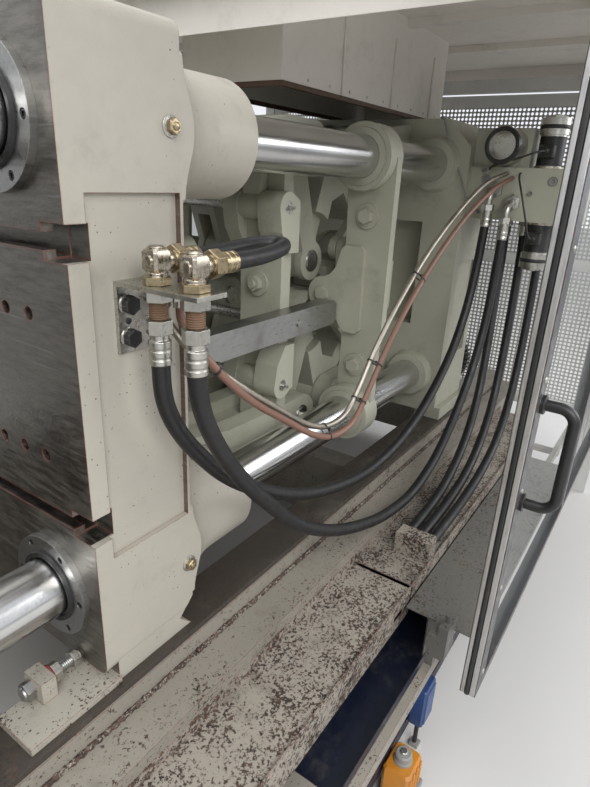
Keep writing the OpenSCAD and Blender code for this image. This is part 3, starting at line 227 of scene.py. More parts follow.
EDGE_PAINT, EDGE_METAL, EDGE_MOULD_FACE = 0.002, 0.0015, 0.016
FACE_DEPTH, FACE_HALF_W, FACE_HALF_H = 0.065, 0.580, 0.598
GRIME, SPECK, GRIP = (0.16, 0.14, 0.11), (0.03, 0.025, 0.02), (0.012, 0.012, 0.012)
RUST_DARK, RUST_LIGHT, PRIMER = (0.032, 0.021, 0.016), (0.085, 0.055, 0.04), (0.30, 0.10, 0.07)
STEEL_DARK, STEEL_LIGHT, STAIN = (0.19, 0.18, 0.16), (0.30, 0.285, 0.255), (0.10, 0.085, 0.075)
SCRATCH, FACE_RIM = (0.42, 0.41, 0.40), (0.16, 0.06, 0.045)


def specked(m, colour, amount):
    """Dark pinholes that stand in groups."""
    dots = m.ramp(m.cells(70), 0.13, 0.09)
    groups = m.ramp(m.noise(9, 5, 0.75), 0.50, 0.60)
    return m.mix(m.times(m.times(dots, groups), amount), colour, SPECK)


def rusted(m, colour, rough, share):
    """Fine speckled rust, thicker in broad patches."""
    start = 1.00 - 0.24 * share
    patch = m.plus(m.times(m.noise(8, 6, 0.7), 0.55), m.times(m.noise(120, 5, 0.75), 1.15))
    patch = m.ramp(patch, start, start + 0.05)
    brown = m.mix(m.ramp(m.noise(40), 0.4, 0.6), RUST_DARK, RUST_LIGHT)
    return m.mix(patch, colour, brown), m.plus(rough, m.times(patch, 0.25))


def chipped(m, colour, rough, amount, under, radius):
    """Paint knocked off along the edges, down to primer or to the metal under it."""
    start = 0.70 - 0.2 * amount
    mask = m.plus(m.edges(radius), m.times(m.noise(46, 6, 0.72), 0.55))
    mask = m.ramp(mask, start, start + 0.04)
    shown = m.mix(m.ramp(m.noise(60, 3), 0.42, 0.55), under, PRIMER)
    return m.mix(mask, colour, shown), m.plus(rough, m.times(mask, 0.15))


def bare_face(m, colour, rough, side, face_x):
    """The ground mould face of a platen at face_x, on its +X side (1) or -X side (-1)."""
    block = m.below(m.apart(m.axis(0), face_x), FACE_DEPTH, 0.001)
    block = m.times(block, m.below(m.apart(m.axis(1), 0.0), FACE_HALF_W, 0.002))
    block = m.times(block, m.below(m.apart(m.axis(2), AXIS / MM), FACE_HALF_H, 0.002))
    steel = m.math("MAXIMUM", m.ramp(m.times(m.normal(0), side), 0.75, 0.85), block)
    grind = m.noise(120, 3, 0.6, (1, 0.15, 1))
    stain = m.ramp(m.noise(5, 6, 0.65), 0.5, 0.72)
    scratch = m.ramp(m.noise(70, 2, 0.5, (1, 0.04, 1)), 0.66, 0.70)
    border = m.plus(m.edges(EDGE_MOULD_FACE), m.times(m.noise(30, 6, 0.7), 0.5))
    tone = m.mix(m.ramp(grind, 0.3, 0.7), STEEL_DARK, STEEL_LIGHT)
    tone = m.mix(m.times(stain, 0.6), tone, STAIN)
    tone = m.mix(m.times(scratch, 0.5), tone, SCRATCH)
    tone = m.mix(m.ramp(border, 0.50, 0.56), tone, FACE_RIM)
    m.set(Metallic=m.times(steel, m.ramp(border, 0.56, 0.50)))
    return m.mix(steel, colour, tone), m.mix(steel, rough, m.ramp(grind, 0.3, 0.7, 0.32, 0.5))


def paint(name, colour, rough=0.45, chips=0.0, under=(0.10, 0.06, 0.05), dirt=0.3, dirt_colour=GRIME,
          orange=0.25, specks=0.0, edge_r=0.005, rust=0.0, bare=None, grip_y=None):
    """Machine paint: uneven tone, grime and orange peel, and on some pieces also wear.

    chips, specks and rust say how much of each there is. bare is the side and place of a
    platen's bare mould face. What lies outside grip_y is black, as a handle is.
    """
    m = Mat(name)
    fine = m.noise(38, 4, 0.6)
    c = m.mix(m.ramp(m.noise(2.6, 5, 0.6), 0.35, 0.7), [v * 0.93 for v in colour], colour)
    c = m.mix(m.times(m.ramp(fine, 0.45, 0.8), 0.12), c, [v * 0.8 for v in colour])
    c = m.mix(m.times(m.ramp(m.noise(7, 7, 0.68), 0.52, 0.74), dirt), c, dirt_colour)
    r = m.ramp(fine, 0.3, 0.7, rough - 0.06, rough + 0.1)
    if specks:
        c = specked(m, c, specks)
    if rust:
        c, r = rusted(m, c, r, rust)
    if chips:
        c, r = chipped(m, c, r, chips, under, edge_r)
    if bare:
        c, r = bare_face(m, c, r, *bare)
    if grip_y is not None:
        c = m.mix(m.ramp(m.axis(1), grip_y, grip_y - 0.001), c, GRIP)
    m.set(Base_Color=c, Roughness=r)
    m.bump(m.plus(m.times(m.noise(220, 2), 0.6), m.times(fine, 0.8)), orange, 0.0012, EDGE_PAINT)
    return m


def metal(name, colour, rough=0.35, streak=(1, 1, 1), grime=0.2, dirt_colour=(0.08, 0.07, 0.06)):
    """Bare metal with a machined or ground grain, drawn out along one direction by streak."""
    m = Mat(name, Metallic=1.0)
    grain = m.noise(160, 3, 0.6, streak)
    broad = m.noise(5, 5, 0.6)
    c = m.mix(m.ramp(grain, 0.3, 0.7), [v * 0.86 for v in colour], colour)
    c = m.mix(m.times(m.ramp(broad, 0.5, 0.75), grime), c, dirt_colour)
    uneven = m.plus(grain, m.times(broad, 0.5))
    m.set(Base_Color=c, Roughness=m.ramp(uneven, 0.4, 1.1, rough - 0.08, rough + 0.14))
    m.bump(grain, 0.15, 0.0006, EDGE_METAL)
    return m


def glass(name):
    """Clear sheet with smears."""
    m = Mat(name, Base_Color=(0.9, 0.95, 0.94, 1))
    smear = m.ramp(m.noise(6, 7, 0.7, (1, 1, 0.3)), 0.5, 0.72)
    m.set(Roughness=m.ramp(m.noise(12, 5), 0.4, 0.7, 0.03, 0.16), Alpha=m.ramp(smear, 0, 1, 0.08, 0.20))
    return m


CREAM, GREENISH = (0.47, 0.44, 0.375), (0.43, 0.43, 0.345)
CASTING = dict(chips=0.5, dirt=0.3, specks=0.9, orange=0.6, under=(0.16, 0.06, 0.045))

m_bed = paint("bed_paint", (0.30, 0.275, 0.232), chips=1.0, dirt=0.8, specks=1.0, rust=0.2,
              under=(0.045, 0.032, 0.027))
# Slide rails near-black: painted shade of the gap under the platens. The rust and dirt on them are real.
m_rail_gap_shade = paint("rail_painted_gap_shade", (0.055, 0.046, 0.037), rough=0.4, dirt=0.6, rust=0.35)
m_shoe = paint("shoe_paint", (0.42, 0.39, 0.33), chips=1.0, dirt=0.7, specks=1.0, rust=0.3)
m_tray = paint("tray_paint", (0.36, 0.325, 0.275), rough=0.6, chips=0.8, dirt=0.9, specks=1.0, rust=0.60)
m_sill = paint("sill_sheet", (0.15, 0.145, 0.13), rough=0.4, dirt=0.9, specks=1.0, rust=0.3)
m_weld = paint("weld_bead", (0.30, 0.27, 0.22), chips=1.0, dirt=1.0, specks=1.0, rust=1.0,
               under=(0.03, 0.025, 0.02), edge_r=0.003)
m_roof = paint("roof_paint", (0.80, 0.76, 0.70), dirt=0.2, specks=0.2)
m_cast = paint("cast_paint", CREAM, bare=(-1, PLATEN_LO.x / MM), **CASTING)
m_fixed = paint("fixed_platen_paint", CREAM, bare=(1, FIXED_HI.x / MM), **CASTING)
m_unit = paint("injection_paint", CREAM, chips=0.3, dirt=0.3, specks=0.5, orange=0.5)
m_toggle = paint("toggle_paint", GREENISH, chips=0.2, dirt=0.35, specks=0.3, orange=0.5)
m_guard = paint("guard_paint", (0.62, 0.62, 0.60), dirt=0.25, specks=0.2)
m_mesh = paint("mesh_paint", (0.40, 0.40, 0.38), rough=0.5, dirt=0.3)
m_door = paint("door_frame_paint", (0.05, 0.05, 0.053), rough=0.34, dirt=0.3, chips=0.2,
               under=(0.4, 0.4, 0.4), grip_y=-1.2055)
m_grey = paint("grey_casting", (0.28, 0.28, 0.26), rough=0.5, dirt=0.5)
# Base cabinet: its own dark blue made near-black, as painted shade under the bed.
m_cabinet_blue_shaded = paint("blue_paint", (0.005, 0.009, 0.024), dirt=0.3, chips=0.3)
m_box = paint("blue_box", (0.03, 0.07, 0.20), rough=0.35, dirt=0.3)
m_orange = paint("orange_paint", (0.62, 0.24, 0.02), rough=0.35, dirt=0.5, chips=0.3)
m_red = paint("red_paint", (0.30, 0.045, 0.035), chips=0.8, dirt=0.6)
m_brown = paint("brown_strip", (0.09, 0.045, 0.025), rough=0.5, dirt=0.4)
m_thread = paint("rusty_thread", (0.20, 0.12, 0.07), rough=0.55, dirt=0.6)
m_copper = paint("red_conduit", (0.22, 0.115, 0.082), rough=0.4, dirt=0.4)
m_black = paint("black_plastic", (0.018, 0.018, 0.018), rough=0.4, dirt=0.2)
m_button = paint("red_plastic", (0.55, 0.02, 0.015), rough=0.25, dirt=0.05)
m_rubber = paint("black_rubber", (0.009, 0.009, 0.0095), rough=0.46, dirt=0.3,
                 dirt_colour=(0.035, 0.032, 0.03), orange=0.2)
m_steel = metal("machined_steel", (0.40, 0.40, 0.39), 0.33, (0.2, 1, 1), grime=0.5)
m_chrome = metal("ground_chrome", (0.66, 0.66, 0.65), 0.14, (8, 1, 1), grime=0.08)
m_pin = metal("pin_steel", (0.50, 0.49, 0.46), 0.28, grime=0.4)
m_dark = metal("dark_steel", (0.10, 0.10, 0.10), 0.42)
m_zinc = metal("zinc_steel", (0.56, 0.55, 0.50), 0.30, grime=0.5)
m_nickel = metal("nickel_plate", (0.50, 0.45, 0.37), 0.24, grime=0.4, dirt_colour=(0.12, 0.09, 0.05))
m_brass = metal("brass", (0.44, 0.36, 0.23), 0.30, grime=0.5, dirt_colour=(0.12, 0.08, 0.04))
m_alu = metal("aluminium_strip", (0.62, 0.61, 0.59), 0.3, (1, 1, 0.1), grime=0.35)
m_braid = metal("steel_braid", (0.46, 0.42, 0.36), 0.4, grime=0.5)
m_hopper = metal("hopper_steel", (0.60, 0.60, 0.60), 0.3)
m_glass = glass("clear_sheet")

FINISHES = (
    (m_bed, "bed_frame"),
    (m_rail_gap_shade, "slide_rails"),
    (m_dark, "tie_bar_nuts", "injection_drive", "barrel"),
    (m_tray, "drip_trays"),
    (m_steel, "levelling_feet", "locating_ring", "safety_bar", "tie_bar_bushes", "injection_screw"),
    (m_cast, "moving_platen"),
    (m_fixed, "stationary_platen"),
    (m_unit, "injection_carriage"),
    (m_toggle, "toggle_block", "rear_platen", "clamp_cylinder", "valve_manifold", "ejector_cylinder",
     "upper_rear_links", "upper_front_links", "lower_rear_links", "lower_front_links", "crosshead",
     "crosshead_arms", "upper_crosshead_links", "lower_crosshead_links"),
    (m_chrome, "tie_bars", "cylinder_rod", "ejector_rod"),
    (m_pin, "rear_toggle_pins", "front_toggle_pins", "upper_knee_pins", "lower_knee_pins"),
    (m_zinc, "manifold_valves", "manifold_fittings", "hose_bracket"),
    (m_guard, "end_guard", "guard_frame", "far_door", "control_panel"),
    (m_roof, "roof_panels"),
    (m_shoe, "shoe_screws"),
    (m_sill, "door_sill"),
    (m_cabinet_blue_shaded, "base_cabinet"),
    (m_rubber, "drop_hose_1", "drop_hose_2", "drop_hose_3", "loop_hose", "hose_a", "hose_b"),
    (m_brass, "bracket_fittings"),
    (m_braid, "conduit_braided"),
    (m_copper, "conduit_red"),
    (m_door, "near_door"),
    (m_glass, "near_door_window", "far_door_window"),
    (m_hopper, "hopper", "hopper_lid"),
    (m_button, "emergency_button"),
)
for finish, *names in FINISHES:
    for name in names:
        materials = nodes[name].data.materials
        materials.clear()
        materials.append(finish.mat)

# Routes of the hoses, conduits and cables

HOSE_A = [(915, -655, 1340), (918, -658, 1271), (946, -661, 1202), (1001, -664, 1127),
          (1090, -666, 1035), (1210, -667, 949), (1380, -670, 858), (1580, -673, 793),
          (1798, -675, 760), (2023, -678, 784), (2240, -681, 870), (2430, -684, 1015),
          (2535, -687, 1180), (2578, -690, 1350), (2590, -693, 1510)]
HOSE_B = [(915, -742, 1340), (926, -744, 1270), (962, -746, 1190), (1024, -748, 1099),
          (1111, -750, 1001), (1257, -752, 860), (1439, -754, 747), (1665, -755, 655),
          (1850, -756, 612), (2030, -757, 608), (2230, -759, 682), (2410, -761, 840),
          (2520, -763, 1010), (2575, -765, 1200), (2590, -767, 1466)]
BRAIDED = [(964, -618, 1432), (967, -624, 1400), (992, -664, 1345), (1092, -698, 1255),
           (1219, -702, 1168), (1340, -704, 1090), (1440, -705, 1052), (1533, -705, 1056),
           (1598, -705, 1107), (1683, -705, 1206), (1820, -705, 1331), (2010, -705, 1463),
           (2240, -705, 1580), (2460, -712, 1668), (2650, -730, 1708)]
RED = [(976, -644, 1432), (979, -652, 1395), (1003, -700, 1325), (1092, -720, 1234),
       (1219, -724, 1146), (1340, -726, 1068), (1440, -727, 1030), (1540, -727, 1036),
       (1612, -727, 1096), (1700, -727, 1196), (1836, -727, 1318), (2026, -727, 1446),
       (2256, -727, 1562), (2470, -740, 1650), (2650, -752, 1692)]
DROPS = [
    [(2700, -745, 1475), (2698, -750, 1400), (2680, -758, 1200), (2640, -770, 1000), (2570, -784, 820),
     (2440, -800, 690), (2270, -814, 610), (2080, -824, 570), (1830, -828, 556)],
    [(2780, -800, 1475), (2778, -804, 1400), (2760, -812, 1200), (2715, -822, 990), (2635, -834, 800),
     (2490, -848, 670), (2300, -860, 595), (2090, -866, 564), (1830, -868, 556)],
    [(2860, -855, 1475), (2857, -860, 1400), (2835, -868, 1190), (2785, -878, 980), (2690, -888, 780),
     (2530, -898, 650), (2320, -904, 585), (2100, -907, 562), (1830, -908, 556)],
]
LOOP = [(1010, -742, 1522), (1050, -744, 1523), (1100, -744, 1526), (1160, -734, 1532),
        (1196, -712, 1535), (1196, -685, 1535), (1160, -663, 1532), (1100, -653, 1526),
        (1050, -653, 1523), (1010, -655, 1522)]
CABLES = [
    [(2676, -860, 1789), (2640, -860, 1789), (2608, -858, 1788), (2574, -836, 1780), (2566, -796, 1764),
     (2572, -742, 1748), (2594, -694, 1735), (2626, -668, 1726), (2650, -660, 1722)],
    [(2676, -870, 1476), (2640, -870, 1476), (2606, -868, 1478), (2572, -862, 1496), (2562, -846, 1556),
     (2566, -820, 1630), (2586, -796, 1684), (2622, -784, 1706), (2650, -780, 1710)],
    [(2640, -440, 1900), (2618, -452, 1907), (2606, -466, 1893), (2607, -511, 1786),
     (2607, -569, 1677), (2608, -612, 1590), (2624, -634, 1562), (2650, -640, 1556)],
]
HOSE_STEPS, CABLE_STEPS = 8, 6


def smooth(points, steps):
    """The same curve through the chosen points as the solids have, in metres."""
    p = [Vector(q) / MM for q in points]
    p = [p[0]] + p + [p[-1]]
    out = []
    for a, b, c, d in zip(p, p[1:], p[2:], p[3:]):
        for s in range(steps):
            t = s / steps
            out.append(0.5 * (2 * b + (c - a) * t + (2 * a - 5 * b + 4 * c - d) * t * t
                              + (3 * b - a - 3 * c + d) * t ** 3))
    return out + [p[-1]]


def ring(centre, u, w, radius, sides):
    """Points round the centre, in the plane of u and w."""
    turn = [2 * math.pi * k / sides for k in range(sides)]
    return [centre + (u * math.cos(a) + w * math.sin(a)) * radius for a in turn]


def skin(bm, rows, index=0, closed=False):
    """Faces between rings of points. The ends are capped, unless the last row joins the first."""
    rows = [[bm.verts.new(v) for v in row] for row in rows]
    faces = []
    for a, b in zip(rows, rows[1:] + rows[:1] if closed else rows[1:]):
        faces += [bm.faces.new((a[k - 1], a[k], b[k], b[k - 1])) for k in range(len(a))]
    if not closed:
        faces += [bm.faces.new(rows[0][::-1]), bm.faces.new(rows[-1])]
    for face in faces:
        face.material_index = index


def made(name, bm, *mats, flat=math.radians(35)):
    """Turns a bmesh into an object, smooth except at edges sharper than flat."""
    bmesh.ops.recalc_face_normals(bm, faces=bm.faces)
    for f in bm.faces:
        f.smooth = True
    for e in bm.edges:
        e.smooth = len(e.link_faces) != 2 or e.calc_face_angle(0) <= flat
    mesh = bpy.data.meshes.new(name)
    bm.to_mesh(mesh)
    bm.free()
    for m in mats:
        mesh.materials.append(m.mat)
    o = bpy.data.objects.new(name, mesh)
    scene.collection.objects.link(o)
    return o


def tube(name, path, radius, mat, sides, leaving=None, arriving=None):
    """A round tube along a path, whose ends stand square to leaving and arriving where given."""
    rows, u = [], None
    last = len(path) - 1
    for i, p in enumerate(path):
        t = (path[min(last, i + 1)] - path[max(0, i - 1)]).normalized()
        if i == 0 and leaving:
            t = Vector(leaving)
        if i == last and arriving:
            t = Vector(arriving)
        if u is None:
            u = t.cross(Vector((0, 1, 0)) if abs(t.y) < 0.9 else Vector((1, 0, 0))).normalized()
        u = (u - t * u.dot(t)).normalized()
        rows.append(ring(p, u, t.cross(u), radius, sides))
    bm = bmesh.new()
    skin(bm, rows)
    return made(name, bm, mat)


HOSE_D, LOOP_D, CONDUIT_D, CABLE_D = 0.034, 0.030, 0.016, 0.0076
BEND = ((1.2, 0, 1.0), (2.5, 0, 1.0))


def hose(name, node, points, diameter, mat, sides, body=None, ways=(DOWN, TO_CLAMP)):
    """A hose or conduit in place of its solid. Without a body its place is baked into the mesh and it follows
    no body.
    """
    path = smooth(points, HOSE_STEPS)
    o = tube(name, path, diameter / 2, mat, sides, *ways)
    if body:
        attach(o, body)
    else:
        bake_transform(o)
    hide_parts(node)


hose("loop_hose_tube", "loop_hose", LOOP, LOOP_D, m_rubber, 24, "moving_platen",
     (TO_CLAMP, TO_INJECTION))
hose("hose_a_tube", "hose_a", HOSE_A, HOSE_D, m_rubber, 24, ways=(DOWN, UP))
hose("hose_b_tube", "hose_b", HOSE_B, HOSE_D, m_rubber, 24, ways=(DOWN, UP))
hose("braided_tube", "conduit_braided", BRAIDED, CONDUIT_D, m_braid, 16)
hose("red_tube", "conduit_red", RED, CONDUIT_D, m_copper, 16)
for number, (points, length) in enumerate(zip(DROPS, (1.495, 1.573, 1.646)), 1):
    hose(f"drop_hose_tube_{number}", f"drop_hose_{number}", points, HOSE_D, m_rubber, 20,
         "frame", (DOWN, TO_INJECTION))

# The thin cables have no solid: they show only in the scene
for number, (points, mat) in enumerate(zip(CABLES, (m_black, m_black, m_grey)), 1):
    path = smooth(points, CABLE_STEPS)
    cable = tube(f"thin_cable_{number}", path, CABLE_D / 2, mat, 10)
    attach(cable, "frame")
    length = sum((b - a).length for a, b in zip(path, path[1:]))

# Detail pieces


class Piece:
    """One mesh made of turned, cut and swept forms. The first material is the usual one."""

    def __init__(self, name, *mats):
        self.name, self.mats, self.bm = name, mats, bmesh.new()

    def rings(self, rows, mat=None, closed=False):
        index = self.mats.index(mat or self.mats[0])
        skin(self.bm, [[Vector(v) / MM for v in row] for row in rows], index, closed)

    def turned(self, place, along, profile, mat=None, sides=28, closed=False):
        """profile is a list of (distance, radius). Six sides give a hexagon."""
        w = Vector(along)
        u = Vector((0, 0, 1)) if abs(w.z) < 0.9 else Vector((1, 0, 0))
        self.rings([ring(Vector(place) + w * h, u, w.cross(u), r, sides) for h, r in profile], mat, closed)

    def hexagon(self, place, along, length, flats, mat=None):
        """A hexagon head or nut with turned-off corners."""
        r = flats / math.sqrt(3)
        profile = [(0, r * 0.93), (1.2, r), (length - 1.8, r), (length, r * 0.86)]
        self.turned(place, along, profile, mat, 6)

    def socket_screw(self, place, along, length, d, mat=None):
        """A cap screw's head with its socket."""
        r, socket, depth = d / 2, d * 0.30, length * 0.45
        profile = [(0, r), (length - 1, r), (length, r - 1), (length, socket), (depth, socket)]
        self.turned(place, along, profile, mat, 18)

    def slab(self, lo, hi, mat=None, edge=1.5):
        """A block with all its edges chamfered."""
        (x0, y0, z0), (x1, y1, z1) = lo, hi
        e = min(edge, (x1 - x0) / 3, (y1 - y0) / 3, (z1 - z0) / 3)

        def level(z, i):
            a, b, c, d = x0 + i, x1 - i, y0 + i, y1 - i
            return [(a + e, c, z), (b - e, c, z), (b, c + e, z), (b, d - e, z),
                    (b - e, d, z), (a + e, d, z), (a, d - e, z), (a, c + e, z)]
        self.rings([level(z0, e * 0.6), level(z0 + e, 0), level(z1 - e, 0), level(z1, e * 0.6)], mat)

    def swept(self, path, radius, sides):
        """A bead along a path. radius is a function of the point's number."""
        pts = [Vector(q) for q in path]
        rows, u = [], None
        for i, q in enumerate(pts):
            t = (pts[min(len(pts) - 1, i + 1)] - pts[max(0, i - 1)]).normalized()
            if u is None:
                u = t.orthogonal().normalized()
            u = (u - t * u.dot(t)).normalized()
            rows.append(ring(q, u, t.cross(u), radius(i), sides))
        self.rings(rows)

    def done(self, body="frame", bend=None, node=None):
        o = made(self.name, self.bm, *self.mats)
        if bend:
            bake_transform(o)
        else:
            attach(o, body)
        if node:
            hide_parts(node)


def crimped(mouth, r, groove, bands, step, tail):
    """The profile of a hose's pressed sleeve: bands of radius r with grooves between them."""
    out = list(mouth)
    for k, (a, b) in enumerate(bands):
        if k:
            out += [(bands[k - 1][1] + step, groove), (a - step, groove)]
        out += [(a, r), (b, r)]
    return out + list(tail)


def threaded(length, root, crest):
    """The profile of a thread, drawn as ridges."""
    return [(h, root if h % 4 else crest) for h in range(0, length, 2)]


def bracket_unions():
    """Elbow unions of the two long hoses and of the loop hose, on their bracket."""
    p = Piece("bracket_unions", m_nickel, m_brass, m_zinc, m_thread)
    plate, loop_z, half = BRACKET_HI.z, LOOP[0][2], 19
    long_sleeve = crimped([(0, 18.6)], 20.5, 19, ((2, 10), (17, 26), (33, 44)), 2, [(47, 17), (57, 17)])
    loop_sleeve = crimped([(0, 15), (3, 15)], 18.5, 17.6, ((4, 10), (15, 24), (29, 36)), 1, [(38, 16)])
    for x, y, mouth in (HOSE_A[0], HOSE_B[0]):
        # the elbow, from its nut on the plate to the loop hose
        p.hexagon((x, y, plate), UP, 15, 44, m_brass)
        p.turned((x, y, plate + 14), UP, [(0, 19), (6, 19), (9, 16.5), (14, 16.5)])
        p.slab((x - half, y - half, loop_z - 17), (x + half, y + half, loop_z + 19), edge=5)
        p.turned((x, y, loop_z + 18), UP, [(0, 15), (4, 15), (7, 11), (7.6, 4)], sides=24)
        p.turned((x + 16, y, loop_z), TO_CLAMP, [(0, 18), (10, 18), (13, 16), (19, 16)])
        p.turned((x - 23, y, loop_z), TO_CLAMP, [(0, 9), (1, 11), (6, 11)], sides=20)
        p.hexagon((x + 33, y, loop_z), TO_CLAMP, 24, 43, m_brass)
        p.turned((x + 57, y, loop_z), TO_CLAMP, loop_sleeve, m_brass)
        # lock nut, thread, swivel nut and sleeve under the plate
        p.hexagon((x, y, plate - 29), UP, 20, 44, m_zinc)
        p.turned((x, y, plate - 58), UP, threaded(31, 15, 17), m_thread)
        p.hexagon((x, y, mouth + 56), UP, 27, 42, m_zinc)
        p.turned((x, y, mouth), UP, long_sleeve, m_zinc)
    p.done("moving_platen", node="bracket_fittings")


def bracket_screws():
    """Two black screws with washers on the bracket's upright plate, and a small plug between them."""
    p = Piece("bracket_screws", m_black, m_zinc)
    plate_t, middle_z, half_pitch = 8, 1410, 30
    x, face = BRACKET_LO.x + 22, BRACKET_HI.y - plate_t
    for z in (middle_z - half_pitch, middle_z + half_pitch):
        p.turned((x, face + 0.4, z), TO_NEAR, [(0, 18), (2, 18), (2.4, 17)], m_zinc)
        p.hexagon((x, face - 2, z), TO_NEAR, 15, 31)
    p.turned((x, face - 2, middle_z), TO_NEAR, [(-2, 6), (0, 6), (1, 4)], sides=12)
    p.done("moving_platen")


def platen_plugs():
    """Hexagon plugs on both sides of the moving platen."""
    p = Piece("platen_plugs", m_brass, m_zinc)
    side = PLATEN_HI.y
    for s in (-1, 1):
        for x, z in ((1014, 1734), (1030, 811)):
            p.turned((x, s * (side - 1), z), (0, s, 0), [(0, 19), (3, 19), (4, 17.5)], m_zinc)
            p.hexagon((x, s * (side + 2.5), z), (0, s, 0), 12, 25)
            p.turned((x, s * (side + 14), z), (0, s, 0), [(0, 7), (3, 7), (4, 5)], sides=12)
    p.done("moving_platen")


def bush_screws():
    """Six screws on the flange of each tie-bar bush, and the wiper round the bar."""
    p = Piece("bush_screws", m_dark, m_black)
    flange_d, collar_d, count = 226, 160, 6
    r = (flange_d + collar_d) / 4 + 2
    wiper = [(0, 80), (0, 68.5), (5, 68.5), (7, 71), (7, 78)]
    for y in (-BAR, BAR):
        for z in (AXIS - BAR, AXIS + BAR):
            for k in range(count):
                a = 2 * math.pi * (k + 0.5) / count
                place = (BUSH_LO.x + 8, y + r * math.sin(a), z + r * math.cos(a))
                p.socket_screw(place, TO_INJECTION, 7.5, 14.5)
            p.turned((BUSH_LO.x + 0.2, y, z), TO_INJECTION, wiper, m_black, 48, True)
    p.done("moving_platen")


def shoe_screw_parts():
    """The adjusting screws of the platen's shoes, with their nuts and red collars."""
    p = Piece("shoe_screw_parts", m_steel, m_red, m_zinc)
    shoe_y, screw_z = 500, 675
    for s in (-1, 1):
        head, washer, collar, nut, thread, end = [
            (SHOE_LO.x + d, s * shoe_y, screw_z) for d in (51, 47, 103.8, 111.9, 130, 157.6)]
        p.hexagon(head, TO_CLAMP, 18.6, 37)
        p.turned(washer, TO_CLAMP, [(0, 13), (3, 15), (4.2, 15)], sides=24)
        p.turned(collar, TO_CLAMP, [(0, 22), (2, 24), (6, 24), (8.5, 21)], m_red, 32)
        p.hexagon(nut, TO_CLAMP, 18.4, 37.5, m_zinc)
        p.turned(thread, TO_CLAMP, threaded(29, 10.3, 11.3), sides=20)
        p.hexagon(end, TO_CLAMP, 14.8, 33.5, m_zinc)
    p.done("moving_platen")


def conduit_ties():
    """Ties round the braided and the red conduit."""
    p = Piece("conduit_ties", m_black)
    tie_steps, tie_r, tie_inner, half_w = (18, 46, 62, 70, 84), 9.6, 0.92, 2.4
    head_up, head_half, sides = 12, Vector((3.5, 3.5, 3.5)), 24
    braided, red = [[v * MM for v in smooth(route, HOSE_STEPS)] for route in (BRAIDED, RED)]
    middle = [(a + b) / 2 for a, b in zip(braided, red)]
    for k in tie_steps:
        t = (middle[k + 1] - middle[k - 1]).normalized()
        across = braided[k] - red[k]
        across -= t * across.dot(t)
        spread = across.length / 2
        across.normalize()
        up = t.cross(across)
        outer = []
        for a in (2 * math.pi * (n + 0.5) / sides for n in range(sides)):
            out = math.cos(a) * tie_r + (spread if math.cos(a) >= 0 else -spread)
            outer.append(middle[k] + across * out + up * math.sin(a) * tie_r)
        inner = [middle[k] + (v - middle[k]) * tie_inner for v in outer]
        p.rings([[v + t * shift for v in loop] for loop, shift in
                 ((outer, -half_w), (outer, half_w), (inner, half_w), (inner, -half_w))], closed=True)
        head = middle[k] + up * head_up
        p.slab(head - head_half, head + head_half, edge=1)
    p.done(bend=BEND)


def valve_caps():
    """Ribbed cans and connectors of the solenoid valves, the pilot cover's ring and socket screws."""
    p = Piece("valve_caps", m_black, m_nickel, m_grey)
    x0, low, step_top = MANIFOLD_LO.x, MANIFOLD_LO.z, 1730
    for x, y, z, way, n in ((x0 + 70, -860, step_top, 1, 118), (x0 + 70, -870, low, -1, 118),
                            (x0 + 200, -930, low, -1, 70)):
        w = (0, 0, way)
        ribs = [(h, 47.2 if (h // 6) % 2 else 46.4) for h in range(0, n - 12, 6)]
        middle = z + way * n / 2
        p.turned((x, y, z), w, [(-0.2, 52), (8, 52), (9, 47)], m_nickel)
        p.turned((x, y, z + way * 10), w, ribs)
        p.turned((x, y, z + way * (n + 20)), w, [(0, 53), (2, 54), (12, 54), (14, 53)])
        p.turned((x, y, z + way * (n + 66)), w, [(0, 14), (4, 14), (5, 11)], m_nickel, 18)
        p.slab((x - 86, y - 26, middle - 22), (x - 44, y + 26, middle + 22), edge=4)
        p.turned((x - 86, y, middle), TO_INJECTION, [(0, 12), (14, 12), (16, 10), (22, 9)], sides=16)
    pilot_ring = [(0, 66), (0, 49), (8, 49), (11, 53), (11, 62)]
    p.turned((VALVES_LO.x, -720, 1802), TO_INJECTION, pilot_ring, sides=40, closed=True)
    for y in (-650, -900):
        p.socket_screw((x0 + 5, y, 1685), TO_INJECTION, 9, 31, m_grey)
    for y, z in ((-640, 1560), (-985, 1560), (-640, 1716), (-985, 1716), (-830, 1640)):
        p.socket_screw((x0, y, z), TO_INJECTION, 10, 18, m_grey)
    p.done()


def manifold_unions():
    """Nuts and sleeves of the hoses at the manifold."""
    p = Piece("manifold_unions", m_zinc)
    long_sleeve = crimped([(0, 19)], 20.8, 19.6, ((2, 12), (19, 30), (37, 56)), 2, [(60, 17)])
    drop_sleeve = crimped([(0, 20)], 21.6, 20.4, ((2, 12), (19, 34)), 2, [(38, 18)])
    for x, y, z in (HOSE_A[-1], HOSE_B[-1]):
        p.hexagon((MANIFOLD_LO.x, y, z + 136), TO_INJECTION, 15, 56)
        p.hexagon((x, y, z + 60), UP, 24, 42)
        p.turned((x, y, z), UP, long_sleeve)
    for x, y, z in (points[0] for points in DROPS):
        p.hexagon((x, y, z + 38), UP, 23, 46)
        p.turned((x, y, z), UP, drop_sleeve)
    p.done()


GUARD_POST, GUARD_LOW_RAIL = 60, DOOR_LO.z
SHEET_T, SHEET_PITCH, SHEET_HOLE = 1.5, 21.5, 15.5


